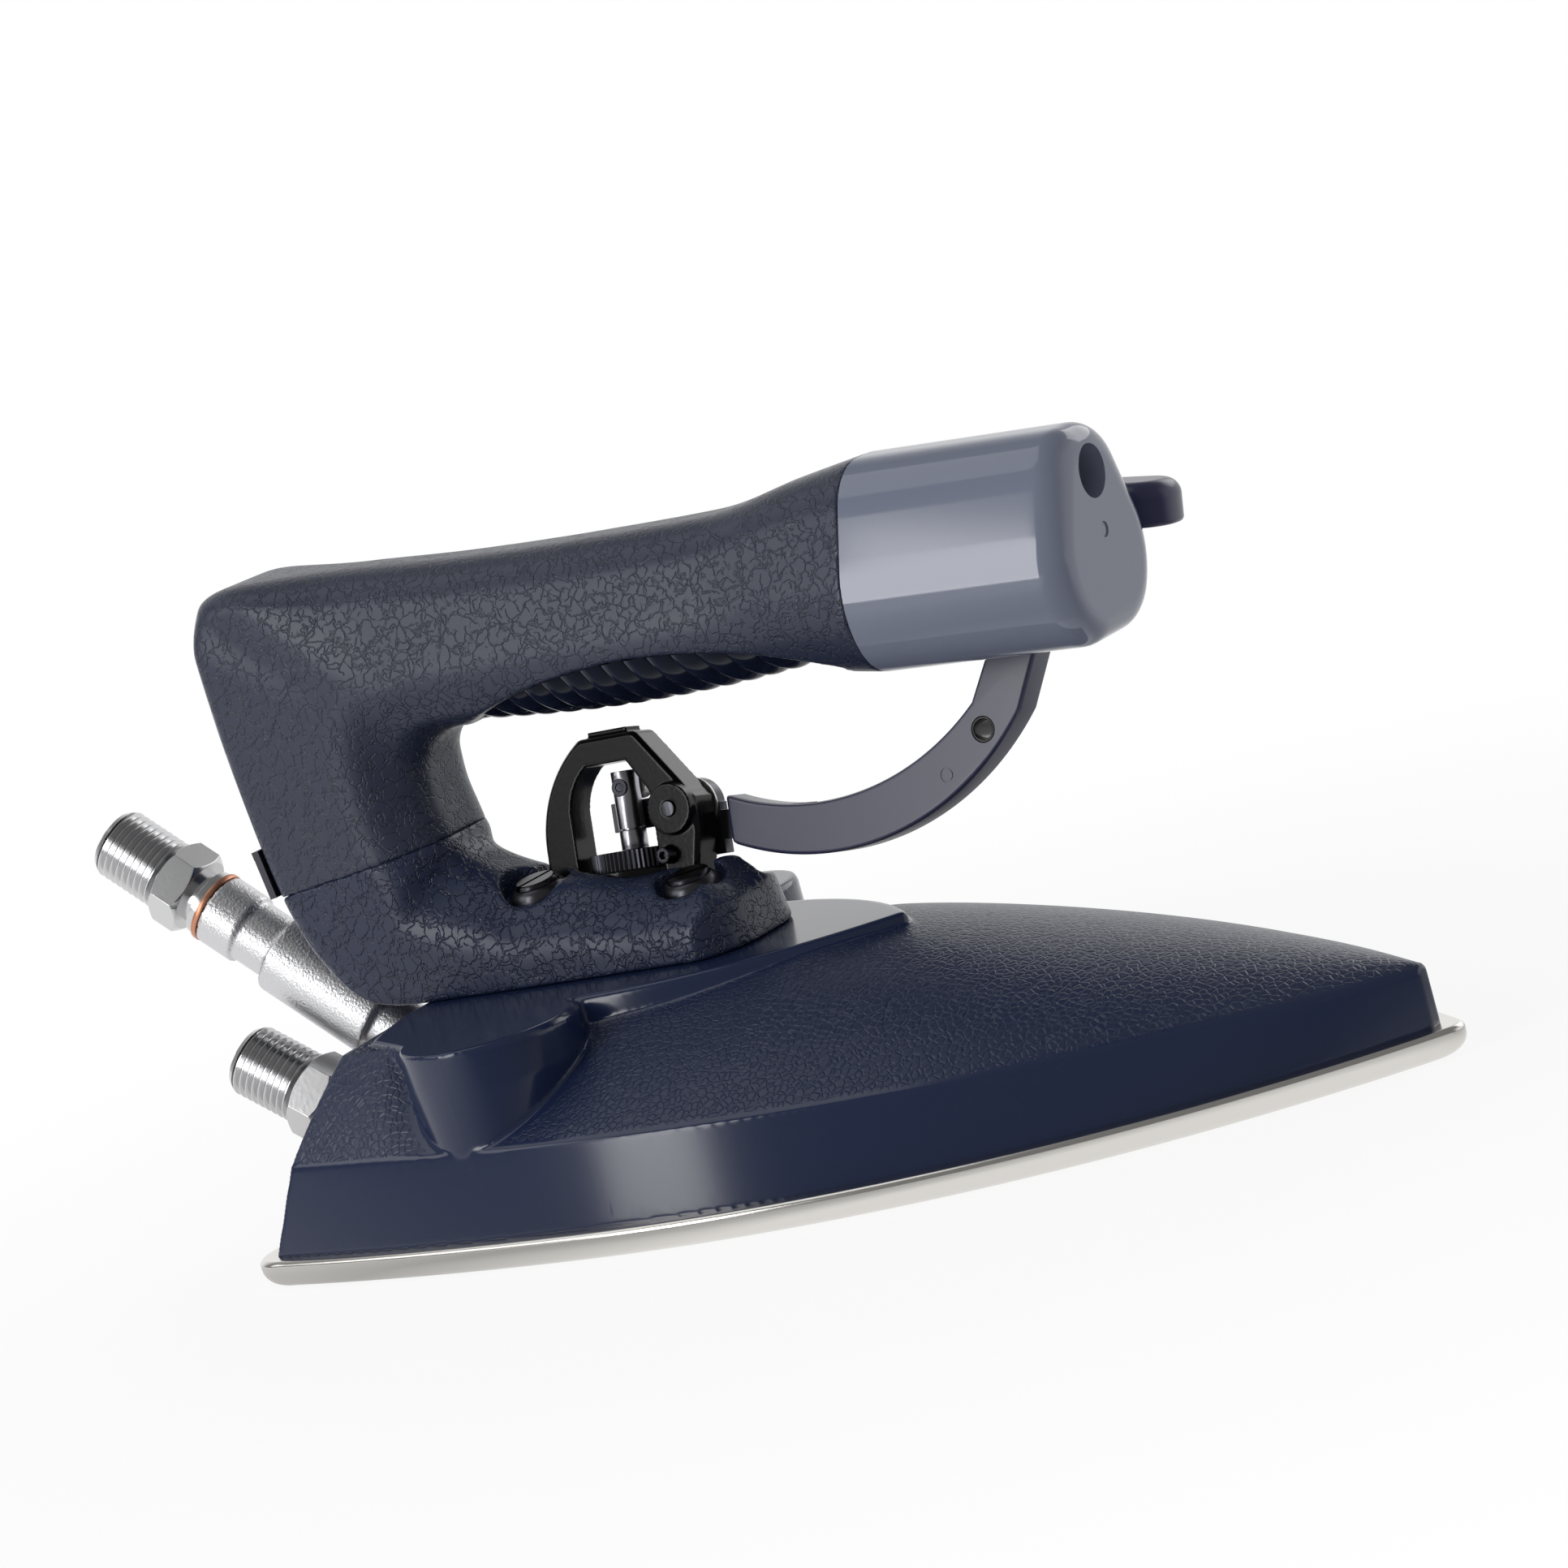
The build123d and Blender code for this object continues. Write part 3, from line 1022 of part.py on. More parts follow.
def stem_set_screw():
    """Socket screw in the near side of the sleeve."""
    screw = across(SOCKET_SCREW_RADIUS, -SLEEVE_RADIUS, -STEM_RADIUS - FIT_GAP)
    screw -= across(SOCKET_RADIUS, -SLEEVE_RADIUS - CUT_OVER, -SLEEVE_RADIUS + SOCKET_DEPTH / 2)
    return VALVE * Pos(0, 0, ROLLER_H) * screw


def stem_roller():
    """Roller on the far side of the sleeve, which the lever's inner arm lifts."""
    return VALVE * Pos(0, 0, ROLLER_H) * across(ROLLER_RADIUS, PLATE_V, PLATE_V + PLATE_THICK)


# Yoke and lever. Side views drawn with u and h

PLATE_V = YOKE_FAR_V + WASHER_THICK + 2 * RUN_GAP


def yoke():
    """Arched yoke over the stem, clamped by its ring, with the lever's pivot boss on its right leg."""
    outer = [(-YOKE_TOP_U, YOKE_TOP_H), (YOKE_TOP_U, YOKE_TOP_H), (YOKE_RIGHT_U, YOKE_BEND_H),
             (YOKE_RIGHT_U, YOKE_SHOULDER_H), (YOKE_LEG_U - YOKE_TOE, YOKE_FOOT_H),
             (-YOKE_LEG_U, YOKE_FOOT_H), (-YOKE_LEG_U, YOKE_SHOULDER_H)]
    face = filled(Polyline(*outer), ThreePointArc(outer[-1], (-YOKE_BELLY_U, YOKE_BELLY_H), outer[0]))
    face = fillet(face.vertices().group_by(Axis.Y)[-1], YOKE_TOP_RADIUS)
    body = slab(face, YOKE_NEAR_V, YOKE_FAR_V)
    inner = [(-YOKE_WINDOW_TOP_U, YOKE_WINDOW_TOP_H), (YOKE_WINDOW_TOP_RIGHT_U, YOKE_WINDOW_TOP_H),
             (YOKE_WINDOW_RIGHT_U, YOKE_WINDOW_SIDE_H), (YOKE_WINDOW_RIGHT_U, YOKE_RING_H),
             (-YOKE_WINDOW_U, YOKE_RING_H), (-YOKE_WINDOW_U, YOKE_WINDOW_LEFT_H)]
    bow = ThreePointArc(inner[-1], (-YOKE_WINDOW_BELLY_U, YOKE_WINDOW_BELLY_H), inner[0])
    window = filled(Polyline(*inner), bow)
    bend = window.vertices().sort_by_distance((YOKE_WINDOW_RIGHT_U, YOKE_WINDOW_SIDE_H))[0]
    window = fillet(bend, YOKE_WINDOW_RADIUS)
    body -= slab(window, YOKE_NEAR_V - CUT_OVER, YOKE_FAR_V + CUT_OVER)
    body = chamfer(body.faces().sort_by(Axis.Y)[0].outer_wire().edges(), YOKE_EDGE)
    body += rod(YOKE_RING_RADIUS, YOKE_FOOT_H, YOKE_RING_H)
    body -= rod(RING_RADIUS + SEAT_GAP, YOKE_RING_H, YOKE_WINDOW_SIDE_H - YOKE_EDGE)
    body += Pos(PIVOT_U, 0, PIVOT_H) * across(BOSS_RADIUS, BOSS_NEAR_V, YOKE_FAR_V)
    pad = Box(YOKE_PAD_LENGTH, YOKE_PAD_WIDTH, 2 * YOKE_PAD_HEIGHT)
    body += Pos(0, (YOKE_NEAR_V + YOKE_FAR_V) / 2, YOKE_TOP_H) * pad
    pivot = across(PIVOT_RADIUS + FIT_GAP, YOKE_NEAR_V, YOKE_FAR_V + CUT_OVER)
    pivot += across(PIVOT_RIVET_RADIUS + FIT_GAP, BOSS_NEAR_V - CUT_OVER, YOKE_FAR_V)
    body -= Pos(PIVOT_U, 0, PIVOT_H) * pivot
    body -= rod(BONNET_RADIUS + FIT_GAP, YOKE_FOOT_H - CUT_OVER, YOKE_RING_H + CUT_OVER)
    screw = across(YOKE_SCREW_RADIUS + FIT_GAP, BOSS_NEAR_V, YOKE_SCREW_FAR_V)
    return VALVE * (body - Pos(YOKE_SCREW_U, 0, YOKE_SCREW_H) * screw)


def yoke_screw():
    """Set screw that locks the ring nut, standing out of the yoke's near face."""
    screw = across(YOKE_SCREW_RADIUS, YOKE_SCREW_NEAR_V, YOKE_SCREW_FAR_V - FIT_GAP)
    return VALVE * Pos(YOKE_SCREW_U, 0, YOKE_SCREW_H) * screw


def pivot_pin():
    """Riveted pin of the lever, from the yoke's boss to its head on the far side."""
    far = PLATE_V + PLATE_THICK + RUN_GAP
    pin = across(PIVOT_RIVET_RADIUS, BOSS_NEAR_V - PIVOT_RIVET_STAND, YOKE_NEAR_V + CUT_OVER)
    pin += across(PIVOT_RADIUS, YOKE_NEAR_V + FIT_GAP, far + PIVOT_HEAD)
    pin += across(PIVOT_HEAD_RADIUS, far, far + PIVOT_HEAD)
    return VALVE * Pos(PIVOT_U, 0, PIVOT_H) * pin


def pivot_washer():
    """Bright washer between the yoke and the lever's hub."""
    ring = across(WASHER_RADIUS, YOKE_FAR_V + RUN_GAP, YOKE_FAR_V + RUN_GAP + WASHER_THICK)
    ring -= across(PIVOT_RADIUS + RUN_GAP, YOKE_NEAR_V, YOKE_FAR_V + WASHER_THICK + CUT_OVER)
    return VALVE * Pos(PIVOT_U, 0, PIVOT_H) * ring


def lever_tang(gap=0.0):
    """Part of the steel plate that runs into the moulded arm."""
    low = LEVER_MID_H - TANG_HEIGHT / 2 - gap
    high = LEVER_MID_H + TANG_HEIGHT / 2 + gap
    end = LEVER_START_U + TANG_DEPTH + gap
    outline = Polyline((PIVOT_U, low), (end, low - TANG_FALL), (end, high - TANG_FALL), (PIVOT_U, high),
                       close=True)
    return slab(make_face(outline), PLATE_V - gap, PLATE_V + PLATE_THICK + gap)


def lever_plate():
    """Steel plate of the lever: hub, short inner arm under the roller, tail and tang."""
    outline = Polyline((ARM_TIP_U, INNER_ARM_LOW_H), (PIVOT_U, INNER_ARM_LOW_H), (PIVOT_U, INNER_ARM_TOP_H),
                       (ARM_TIP_U, INNER_ARM_TOP_H), close=True)
    plate = slab(make_face(outline), PLATE_V, PLATE_V + PLATE_THICK)
    plate += Pos(PIVOT_U, 0, PIVOT_H) * across(HUB_RADIUS, PLATE_V, PLATE_V + PLATE_THICK)
    tail = Polyline((TAIL_U - TAIL_WIDTH, PIVOT_H), (TAIL_U - TAIL_WIDTH, TAIL_LOW_H), (TAIL_U, TAIL_LOW_H),
                    (TAIL_U, PIVOT_H), close=True)
    plate += slab(make_face(tail), PLATE_V, PLATE_V + PLATE_THICK)
    plate += lever_tang()
    bore = across(PIVOT_RADIUS + RUN_GAP, YOKE_NEAR_V, PLATE_V + PLATE_THICK + CUT_OVER)
    return VALVE * (plate - Pos(PIVOT_U, 0, PIVOT_H) * bore)


def lever_arm():
    """Moulded arm: a crescent under the grip, a shank up beside the cap and the thumb rest on top."""
    inner = [(LEVER_START_U, LEVER_START_TOP_H), (LEVER_LOW_U, LEVER_LOW_H + LEVER_DEPTH),
             (LEVER_RISE_U - LEVER_DEPTH, LEVER_RISE_H + LEVER_RISE_LEAD)]
    outer = [(LEVER_START_U, LEVER_START_LOW_H), (LEVER_LOW_U, LEVER_LOW_H), (LEVER_RISE_U, LEVER_RISE_H)]
    shank_in = (LEVER_SHANK_U - LEVER_SHANK_DEPTH, LEVER_SHANK_H)
    shank_out = (LEVER_SHANK_U, LEVER_SHANK_H)
    top_in = (THUMB_REAR_U, THUMB_TOP_H)
    top_out = (LEVER_TOP_U, THUMB_TOP_H)
    face = filled(ThreePointArc(*inner), ThreePointArc(*outer), Line(inner[0], outer[0]),
                  Line(inner[2], shank_in), Line(outer[2], shank_out), Line(shank_in, top_in),
                  Line(shank_out, top_out), Line(top_in, top_out))
    face = fillet(face.vertices().sort_by(Axis.X)[:2], LEVER_CORNER)
    far = LEVER_NEAR_V + LEVER_THICK
    arm = slab(face, LEVER_NEAR_V, far)
    sides = arm.faces().sort_by(Axis.Y)
    arm = chamfer(sides[0].edges() + sides[-1].edges(), LEVER_EDGE)
    relief = Box(LEVER_SHANK_U, LEVER_RELIEF, THUMB_TOP_H, align=(Align.MIN, Align.MIN, Align.MIN))
    arm -= Pos(LEVER_RISE_U - LEVER_DEPTH, LEVER_NEAR_V, LEVER_RISE_H + LEVER_DEPTH) * relief
    rest = Rectangle(THUMB_FRONT_U - THUMB_REAR_U, THUMB_WIDTH, align=(Align.MIN, Align.MIN))
    rest = fillet(rest.vertices(), THUMB_CORNER)
    rest = extrude(rest, THUMB_THICK)
    rest = fillet(rest.edges().group_by(Axis.Z)[-1], THUMB_EDGE)
    rest = fillet(rest.edges().group_by(Axis.Z)[0], LEVER_EDGE)
    lean = Rot(THUMB_ROLL, THUMB_LEAN, 0)
    arm += Pos(THUMB_REAR_U, LEVER_NEAR_V + LEVER_RELIEF, THUMB_TOP_H - THUMB_THICK) * lean * rest
    arm -= lever_tang(FIT_GAP)
    hole = across(LEVER_HOLE_RADIUS + INSERT_WALL + FIT_GAP, 0, far + CUT_OVER)
    return VALVE * (arm - Pos(LEVER_HOLE_U, 0, LEVER_HOLE_H) * hole)


def lever_insert():
    """Metal eyelet in the arm's hole."""
    far = LEVER_NEAR_V + LEVER_THICK
    tube = across(LEVER_HOLE_RADIUS + INSERT_WALL, LEVER_NEAR_V, far)
    return VALVE * Pos(LEVER_HOLE_U, 0, LEVER_HOLE_H) * (tube - across(LEVER_HOLE_RADIUS, 0, far + CUT_OVER))


PARTS = {
    "soleplate": soleplate, "chamber_gasket": chamber_gasket, "chamber_lid": chamber_lid,
    "lid_screws": lid_screws, "heat_felt": heat_felt, "base_cover": base_cover,
    "handle_foot": handle_foot, "handle_grip": handle_grip, "handle_cap": handle_cap, "cap_screw": cap_screw,
    "finger_rest": finger_rest, "column_bolt": column_bolt, "foot_screws": foot_screws,
    "foot_cup_washers": foot_cup_washers, "back_clip": back_clip, "clip_screw": clip_screw,
    "valve_casting": valve_casting, "valve_seat": valve_seat, "valve_bonnet": valve_bonnet,
    "stem_packing": stem_packing, "bonnet_ring": bonnet_ring, "valve_stem": valve_stem,
    "valve_disc": valve_disc, "stem_spring": stem_spring, "stem_sleeve": stem_sleeve,
    "stem_set_screw": stem_set_screw, "stem_roller": stem_roller, "yoke": yoke, "yoke_screw": yoke_screw,
    "pivot_pin": pivot_pin, "pivot_washer": pivot_washer, "lever_plate": lever_plate,
    "lever_arm": lever_arm, "lever_insert": lever_insert,
    "inlet_nipple": lambda: INLET * nipple(), "inlet_washer": lambda: INLET * copper_washer(),
    "outlet_nipple": lambda: OUTLET * nipple(), "outlet_washer": lambda: OUTLET * copper_washer(),
}

os.makedirs("parts", exist_ok=True)
for name, make in PARTS.items():
    made = make()
    solids = made if isinstance(made, list) else [made]
    shape = solids[0] if len(solids) == 1 else Compound(children=solids)
    export_step(shape, f"parts/{name}.step")
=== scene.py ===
import math

import bmesh
import bpy
import numpy as np
from mathutils import Matrix, Vector


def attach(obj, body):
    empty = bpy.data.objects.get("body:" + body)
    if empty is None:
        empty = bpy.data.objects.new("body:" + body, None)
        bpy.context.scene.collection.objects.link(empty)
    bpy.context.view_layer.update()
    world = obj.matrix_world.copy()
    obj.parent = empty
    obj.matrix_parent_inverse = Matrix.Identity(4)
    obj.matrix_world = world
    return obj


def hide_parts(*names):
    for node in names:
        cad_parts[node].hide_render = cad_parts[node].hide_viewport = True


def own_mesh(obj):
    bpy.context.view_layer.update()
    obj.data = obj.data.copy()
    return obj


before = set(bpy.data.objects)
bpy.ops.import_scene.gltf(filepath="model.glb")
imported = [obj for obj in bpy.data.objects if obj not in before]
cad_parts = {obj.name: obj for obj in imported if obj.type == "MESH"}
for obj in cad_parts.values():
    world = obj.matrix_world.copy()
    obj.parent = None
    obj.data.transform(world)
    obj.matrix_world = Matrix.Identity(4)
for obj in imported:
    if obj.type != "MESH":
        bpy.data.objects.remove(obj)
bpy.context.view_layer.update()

# Lengths are in millimetres until a mesh is made. +X points to the nose, +Z up, +Y to the iron's left.
MM = 0.001

# Camera, found from the round parts and the outline of the iron in the photograph
TURN = 32.46
RISE = 8.76
ROLL = 15.49
DISTANCE = 897.33
PIXELS_PER_MM = 7.36
IMAGE_SIDE = 1932
SENSOR = 36.0
AIM_RIGHT = 22.14
AIM_UP = -57.22
CLIP_NEAR = 50.0
CLIP_FAR = 20000.0

# Mesh fineness
ROUND_STEPS = 96
FINE_STEPS = 48
CORNER_STEPS = 10
SHARP_ANGLE = 32.0
RIB_SHARP_ANGLE = 50.0
BEVEL = 0.22
BEVEL_STEPS = 2
OVER = 1.0                # how far a cutter runs past a piece
HEX_SIDES = 6

# Moulded and cast skins: size of a voxel, smoothing passes and the share of faces that stays
COVER_SKIN = (0.4, 5, 0.22)
FOOT_SKIN = (0.42, 12, 1.0)
GRIP_SKIN = (0.5, 4, 1.0)
CASTING_SKIN = (0.4, 3, 1.0)
YOKE_SKIN = (0.2, 3, 0.6)

# Sole
HALF_LENGTH = 104.0
HALF_WIDTH = 59.0
SOLE_REAR_HALF = 51.5
SOLE_THICK = 5.0
SOLE_EDGE = 3.4
SOLE_TOP_EDGE = 0.9
WIDEST_X = -30.0
REAR_CORNER = 7.0
NOSE_TIP = 3.6
STEAM_HOLE_RADIUS = 1.6
STEAM_HOLE_COUNT = 9
STEAM_HOLE_INSET = 25.0
STEAM_HOLE_REAR_X = -34.0
STEAM_HOLE_FRONT_X = 38.0

# Cover
COVER_INSET = 3.0
COVER_FOOT_Z = 4.4        # its skin starts inside the sole, so that the line between them is crisp
CREASE_INSET = 2.2
CREASE_REAR_Z = 19.8
CREASE_NOSE_Z = 13.9
CREASE_DROP_POWER = 2.2
BAND_REAR_RUN = 9.2
COVER_REAR_RUN = 8.5
APEX_Z = 36.2
APEX_FLAT_X = -5.0
APEX_POWER = 1.25
SHOULDER_SHARE = 0.47
SHOULDER_DROP_SHARE = 0.21
HIP_SHARE = 0.78
HIP_DROP_SHARE = 0.035
HIP_FRONT_X = -62.0
HIP_BLEND = 22.0
FLANK_BULGE = 1.3
COVER_NOSE_HALF = 1.2
COVER_LAST_SHARE = 0.992
COVER_STATIONS = 170
PAD_Z = 36.6
PAD_HALF = 26.5
PAD_WIDEST_X = -45.0
PAD_NOSE_X = 9.5
PAD_DEPTH = 7.0
PAD_BEVEL = 0.8
PAD_DRAFT = 13.0
PAD_REAR_X = -83.5
PAD_HIP_X = -77.5
PAD_HIP_Y = 36.0
LOBE_X = -52.0
LOBE_Y = 37.6
LOBE_RADIUS = 15.6
LOBE_FOOT_RADIUS = 12.6
LOBE_ENTRY = 34.0
LOBE_LOW_DROP = 1.2
LOBE_EDGE = 1.0

# Handle
HANDLE_HALF = 14.7
HANDLE_REAR_X = -109.0
HANDLE_REACH = 133.5
HANDLE_RISE = 75.0
# Inner and outer end of each section, as shares of reach and rise, and the name of its form
HANDLE_SECTION_SHARES = (
    (0.760, 0.150, 0.760, -0.013, "deck"),
    (0.700, 0.168, 0.700, -0.013, "deck"),
    (0.640, 0.178, 0.640, -0.013, "deck"),
    (0.539, 0.182, 0.539, -0.013, "deck"),
    (0.457, 0.212, 0.457, -0.013, "deck"),
    (0.380, 0.222, 0.365, -0.013, "deck"),
    (0.318, 0.262, 0.245, -0.013, "neck"),
    (0.286, 0.305, 0.130, 0.012, "neck"),
    (0.275, 0.345, 0.053, 0.128, "column"),
    (0.270, 0.395, 0.020, 0.293, "column"),
    (0.265, 0.460, 0.004, 0.495, "column"),
    (0.268, 0.525, -0.006, 0.725, "column"),
    (0.284, 0.571, -0.008, 0.885, "column"),
    (0.304, 0.592, 0.003, 0.996, "bend"),
    (0.333, 0.600, 0.058, 1.024, "bend"),
    (0.390, 0.597, 0.222, 1.004, "grip"),
    (0.479, 0.592, 0.397, 0.978, "grip"),
    (0.607, 0.589, 0.577, 0.962, "grip"),
    (0.772, 0.584, 0.764, 0.954, "grip"),
    (0.899, 0.568, 0.895, 0.986, "swell"),
    (0.984, 0.545, 0.998, 1.009, "cap"),
)
# Half width inside, half width and depth of the widest place, half width outside, and three corner radii
HANDLE_FORM_SHARES = {
    "deck": (0.42, 1.00, 0.50, 1.00, 0.45, 0.55, 0.06),
    "neck": (0.40, 1.00, 0.38, 0.96, 0.50, 0.80, 0.16),
    "column": (0.55, 1.00, 0.26, 0.90, 0.55, 0.90, 0.24),
    "bend": (0.60, 1.00, 0.27, 0.80, 0.60, 0.80, 0.40),
    "grip": (0.62, 1.00, 0.33, 0.60, 0.58, 0.78, 0.60),
    "swell": (0.68, 1.10, 0.34, 0.60, 0.62, 0.88, 0.62),
    "cap": (0.79, 1.21, 0.36, 0.61, 0.76, 1.05, 0.70),
}
SEAM_REAR_Z = 58.6
SEAM_FRONT_Z = 62.8
SEAM_RUN = 33.0
SEAM_GAP = 0.25
SEAM_ROW = 9
ROWS_BETWEEN = 12         # fine sections between two given ones
SIDE_STEPS = 5
FOOT_NOSE_X = -17.4
FOOT_NOSE_RADIUS = 12.0
FOOT_DRAFT = 9.0
FOOT_HEIGHT = 11.25
FOOT_NOSE_EDGE = 2.8
WELL_GAP = 0.8
WELL_HALF_LENGTH = 17.6
WELL_NEAR_V = -5.3
WELL_LOW_H = 25.4
WELL_REACH = 30.0
LEVER_ROOM = 1.0
LEVER_ROOM_U = 42.0
RECESS_RADIUS = 6.1
CUP_THICK = 1.2
CAP_LENGTH = 40.4
CAP_FRONT_RADIUS = 4.6
CAP_ROWS = 30
CAP_FRONT_ROWS = 10
# Radius, depth and share of the cap's height
CAP_HOLE = (4.4, 22.0, 0.775)
GATE_MARK = (1.3, 0.25, 0.5)

# Finger rest
REST_REAR_X = -65.0
REST_FRONT_X = 16.0
REST_RIBS = 18
REST_STEPS = 10           # rings for each rib
REST_END_Z = 80.2
REST_CREST_Z = 88.6
REST_HALF_WIDTH = 13.3
REST_CENTRE_Z = 90.0
REST_BOTTOM_Z = 79.2
REST_END_RISE = 2.6
REST_GROOVE = 1.7
REST_TOOTH_SHARE = 0.3
REST_SLANT = 20.0

# Fasteners of the handle
FOOT_SCREW_Y = -3.6
FOOT_SCREW_TILT = 8.0
FOOT_SCREW_PLACES = ((-28.0, 48.3, 28.0), (-58.6, 51.6, 64.0))   # x, height of the head, angle of its slot
FOOT_SCREW_RADIUS = 2.5
FOOT_SCREW_HEAD = 3.9
FOOT_SCREW_HEAD_HEIGHT = 1.6
FOOT_SCREW_TIP_Z = 30.6
SLOT_WIDTH = 0.9
SLOT_DEPTH = 0.8
CUP_RADIUS = 5.1
CLIP_SCREW_HEAD = 3.3
CLIP_SCREW_HEIGHT = 1.7
CLIP_THICK = 1.4
CLIP_SLOT_ANGLE = 14.7
CLIP_ROW = 9
CLIP_LOW = 3.4
CLIP_SHARE = 0.04
CLIP_Y = -8.6

# Valve: u along the iron, v across it, h up the stem
STEM_X = -44.4
STEM_FOOT_Z = 20.0
STEM_TILT = 12.5
STEM_RADIUS = 1.8
STEM_LOW_H = 4.6
STEM_TOP_H = 46.5
COLLAR_RADIUS = 2.35
COLLAR_LOW_H = 34.0
COLLAR_TOP_H = 37.3
SLEEVE_RADIUS = 2.35
SLEEVE_LOW_H = 37.6
SLEEVE_TOP_H = 47.5
FIT_GAP = 0.05
ROLLER_H = 44.7
SOCKET_SCREW_RADIUS = 1.5
SOCKET_RADIUS = 0.8
SOCKET_DEPTH = 0.5
BODY_RADIUS = 10.0
BODY_TOP_H = 26.6
BONNET_RADIUS = 6.6
BONNET_LOW_H = 20.0
BONNET_TOP_H = 33.5
PACKING_RADIUS = 3.65
PACKING_LOW_H = 24.0
PACKING_TOP_H = 29.0
RING_RADIUS = 8.0
RING_LOW_H = 30.4
RING_TOP_H = 33.8
RING_TEETH = 60
RING_TOOTH = 0.3
YOKE_RING_RADIUS = 9.4
YOKE_TOP_H = 53.9
YOKE_SCREW_U = 9.6
YOKE_SCREW_H = 31.9
YOKE_SCREW_RADIUS = 1.4
YOKE_SCREW_NEAR_V = -6.6
YOKE_SCREW_FAR_V = -1.0
SCREW_PITCH = 0.5
SCREW_THREAD = 0.14

# Lever
LEVER_NEAR_V = 1.4
LEVER_THICK = 6.2
LEVER_RELIEF = 1.0
LEVER_START_U = 18.6
LEVER_START_LOW_H = 32.2
LEVER_START_TOP_H = 40.6
LEVER_LOW_U = 42.0
LEVER_LOW_H = 27.9
LEVER_DEPTH = 9.0
LEVER_RISE_U = 78.0
LEVER_RISE_H = 46.0
LEVER_RISE_LEAD = 2.6
LEVER_SHANK_U = 86.0
LEVER_SHANK_H = 62.0
LEVER_TOP_U = 94.0
LEVER_SHANK_DEPTH = 9.4
LEVER_EDGE = 0.8
LEVER_HOLE_U = 70.6
LEVER_HOLE_H = 43.8
LEVER_HOLE_RADIUS = 1.7
INSERT_WALL = 0.5
EJECTOR_U = 62.5
EJECTOR_H = 37.4
EJECTOR_RADIUS = 1.25
EJECTOR_DEPTH = 0.12
THUMB_REAR_U = 82.0
THUMB_FRONT_U = 108.7
THUMB_TOP_H = 81.8
THUMB_THICK = 7.4
THUMB_WIDTH = 12.8
THUMB_LEAN = 8.0
THUMB_ROLL = 8.0
THUMB_EDGE = 2.8
THUMB_CORNER = 6.0

# Nipples
INLET_PITCH = 40.5
INLET_PLACE = (-129.5, 0.0, 56.6)
OUTLET_PITCH = 34.0
OUTLET_PLACE = (-105.4, -9.0, 17.5)
OUTLET_BOSS_RADIUS = 6.6
OUTLET_BOSS_LENGTH = 20.0
THREAD_RADIUS = 6.58
THREAD_ROOT = 5.75
THREAD_PITCH = 1.337
THREAD_LENGTH = 13.4
THREAD_CHAMFER = 0.9
THREAD_CREST_SHARE = 1 / 6
NIPPLE_BORE = 3.6
HEX_FLATS = 14.0
HEX_LENGTH = 6.2
HEX_CHAMFER = 0.9
NECK_RADIUS = 5.0
NECK_LENGTH = 3.4
NECK_FLANGE = 1.4
NECK_FLANGE_RADIUS = 6.2
TAIL_RADIUS = 4.75
TAIL_LENGTH = 7.0
COPPER_RADIUS = 6.7
COPPER_THICK = 1.1
PIPE_WINDOW_RADIUS = 8.8

# Shapes


def piece(name, points, faces):
    """New object from points in millimetres."""
    mesh = bpy.data.meshes.new(name)
    mesh.from_pydata([tuple(point) for point in np.asarray(points, dtype=float) * MM], [], faces)
    obj = bpy.data.objects.new(name, mesh)
    bpy.context.scene.collection.objects.link(obj)
    outward(obj)
    return obj


def outward(obj):
    """Merges doubles and turns every face outwards."""
    work = bmesh.new()
    work.from_mesh(obj.data)
    bmesh.ops.remove_doubles(work, verts=work.verts, dist=MM * MM)
    bmesh.ops.recalc_face_normals(work, faces=work.faces)
    work.to_mesh(obj.data)
    work.free()


def skin(name, rings, closed=False):
    """Skin over rings with the same number of points: capped at both ends, or closed on itself."""
    count = len(rings[0])
    rows = len(rings)
    faces = [] if closed else [list(range(count)), list(range((rows - 1) * count, rows * count))]
    for i in range(rows if closed else rows - 1):
        for j in range(count):
            here = i * count
            there = ((i + 1) % rows) * count
            step = (j + 1) % count
            faces.append((here + j, here + step, there + step, there + j))
    return piece(name, np.concatenate(rings), faces)


def circle(radius, z, steps=ROUND_STEPS):
    """Ring of points at height z."""
    angles = np.linspace(0, 2 * math.pi, steps, endpoint=False)
    return np.stack([radius * np.cos(angles), radius * np.sin(angles), np.full(steps, float(z))], 1)


def turned(name, profile, hollow=False, steps=ROUND_STEPS):
    """Turned piece round z from (radius, z) pairs; a hollow one closes its profile on itself."""
    return skin(name, [circle(radius, z, steps) for radius, z in profile], hollow)


def rod(radius, low, high, base=None, steps=ROUND_STEPS):
    """Round bar along z, in a frame where one is given."""
    bar = turned("rod", [(radius, low), (radius, high)], steps=steps)
    return bar if base is None else place(bar, base)


def quarter(steps=CORNER_STEPS):
    """Sine and cosine at each step of a quarter turn."""
    turns = [math.radians(90) * k / steps for k in range(steps + 1)]
    return [(math.sin(turn), math.cos(turn)) for turn in turns]


def block(name, low, high):
    """Box between two corners."""
    corners = [(x, y, z) for z in (low[2], high[2]) for y in (low[1], high[1]) for x in (low[0], high[0])]
    sides = [(0, 1, 3, 2), (4, 5, 7, 6), (0, 1, 5, 4), (2, 3, 7, 6), (0, 2, 6, 4), (1, 3, 7, 5)]
    return piece(name, corners, sides)


def slab(name, outline, y_low, y_high):
    """Stands up a side view, drawn with x and z, from y_low to y_high."""
    return skin(name, [[(x, y, z) for x, z in outline] for y in (y_low, y_high)])


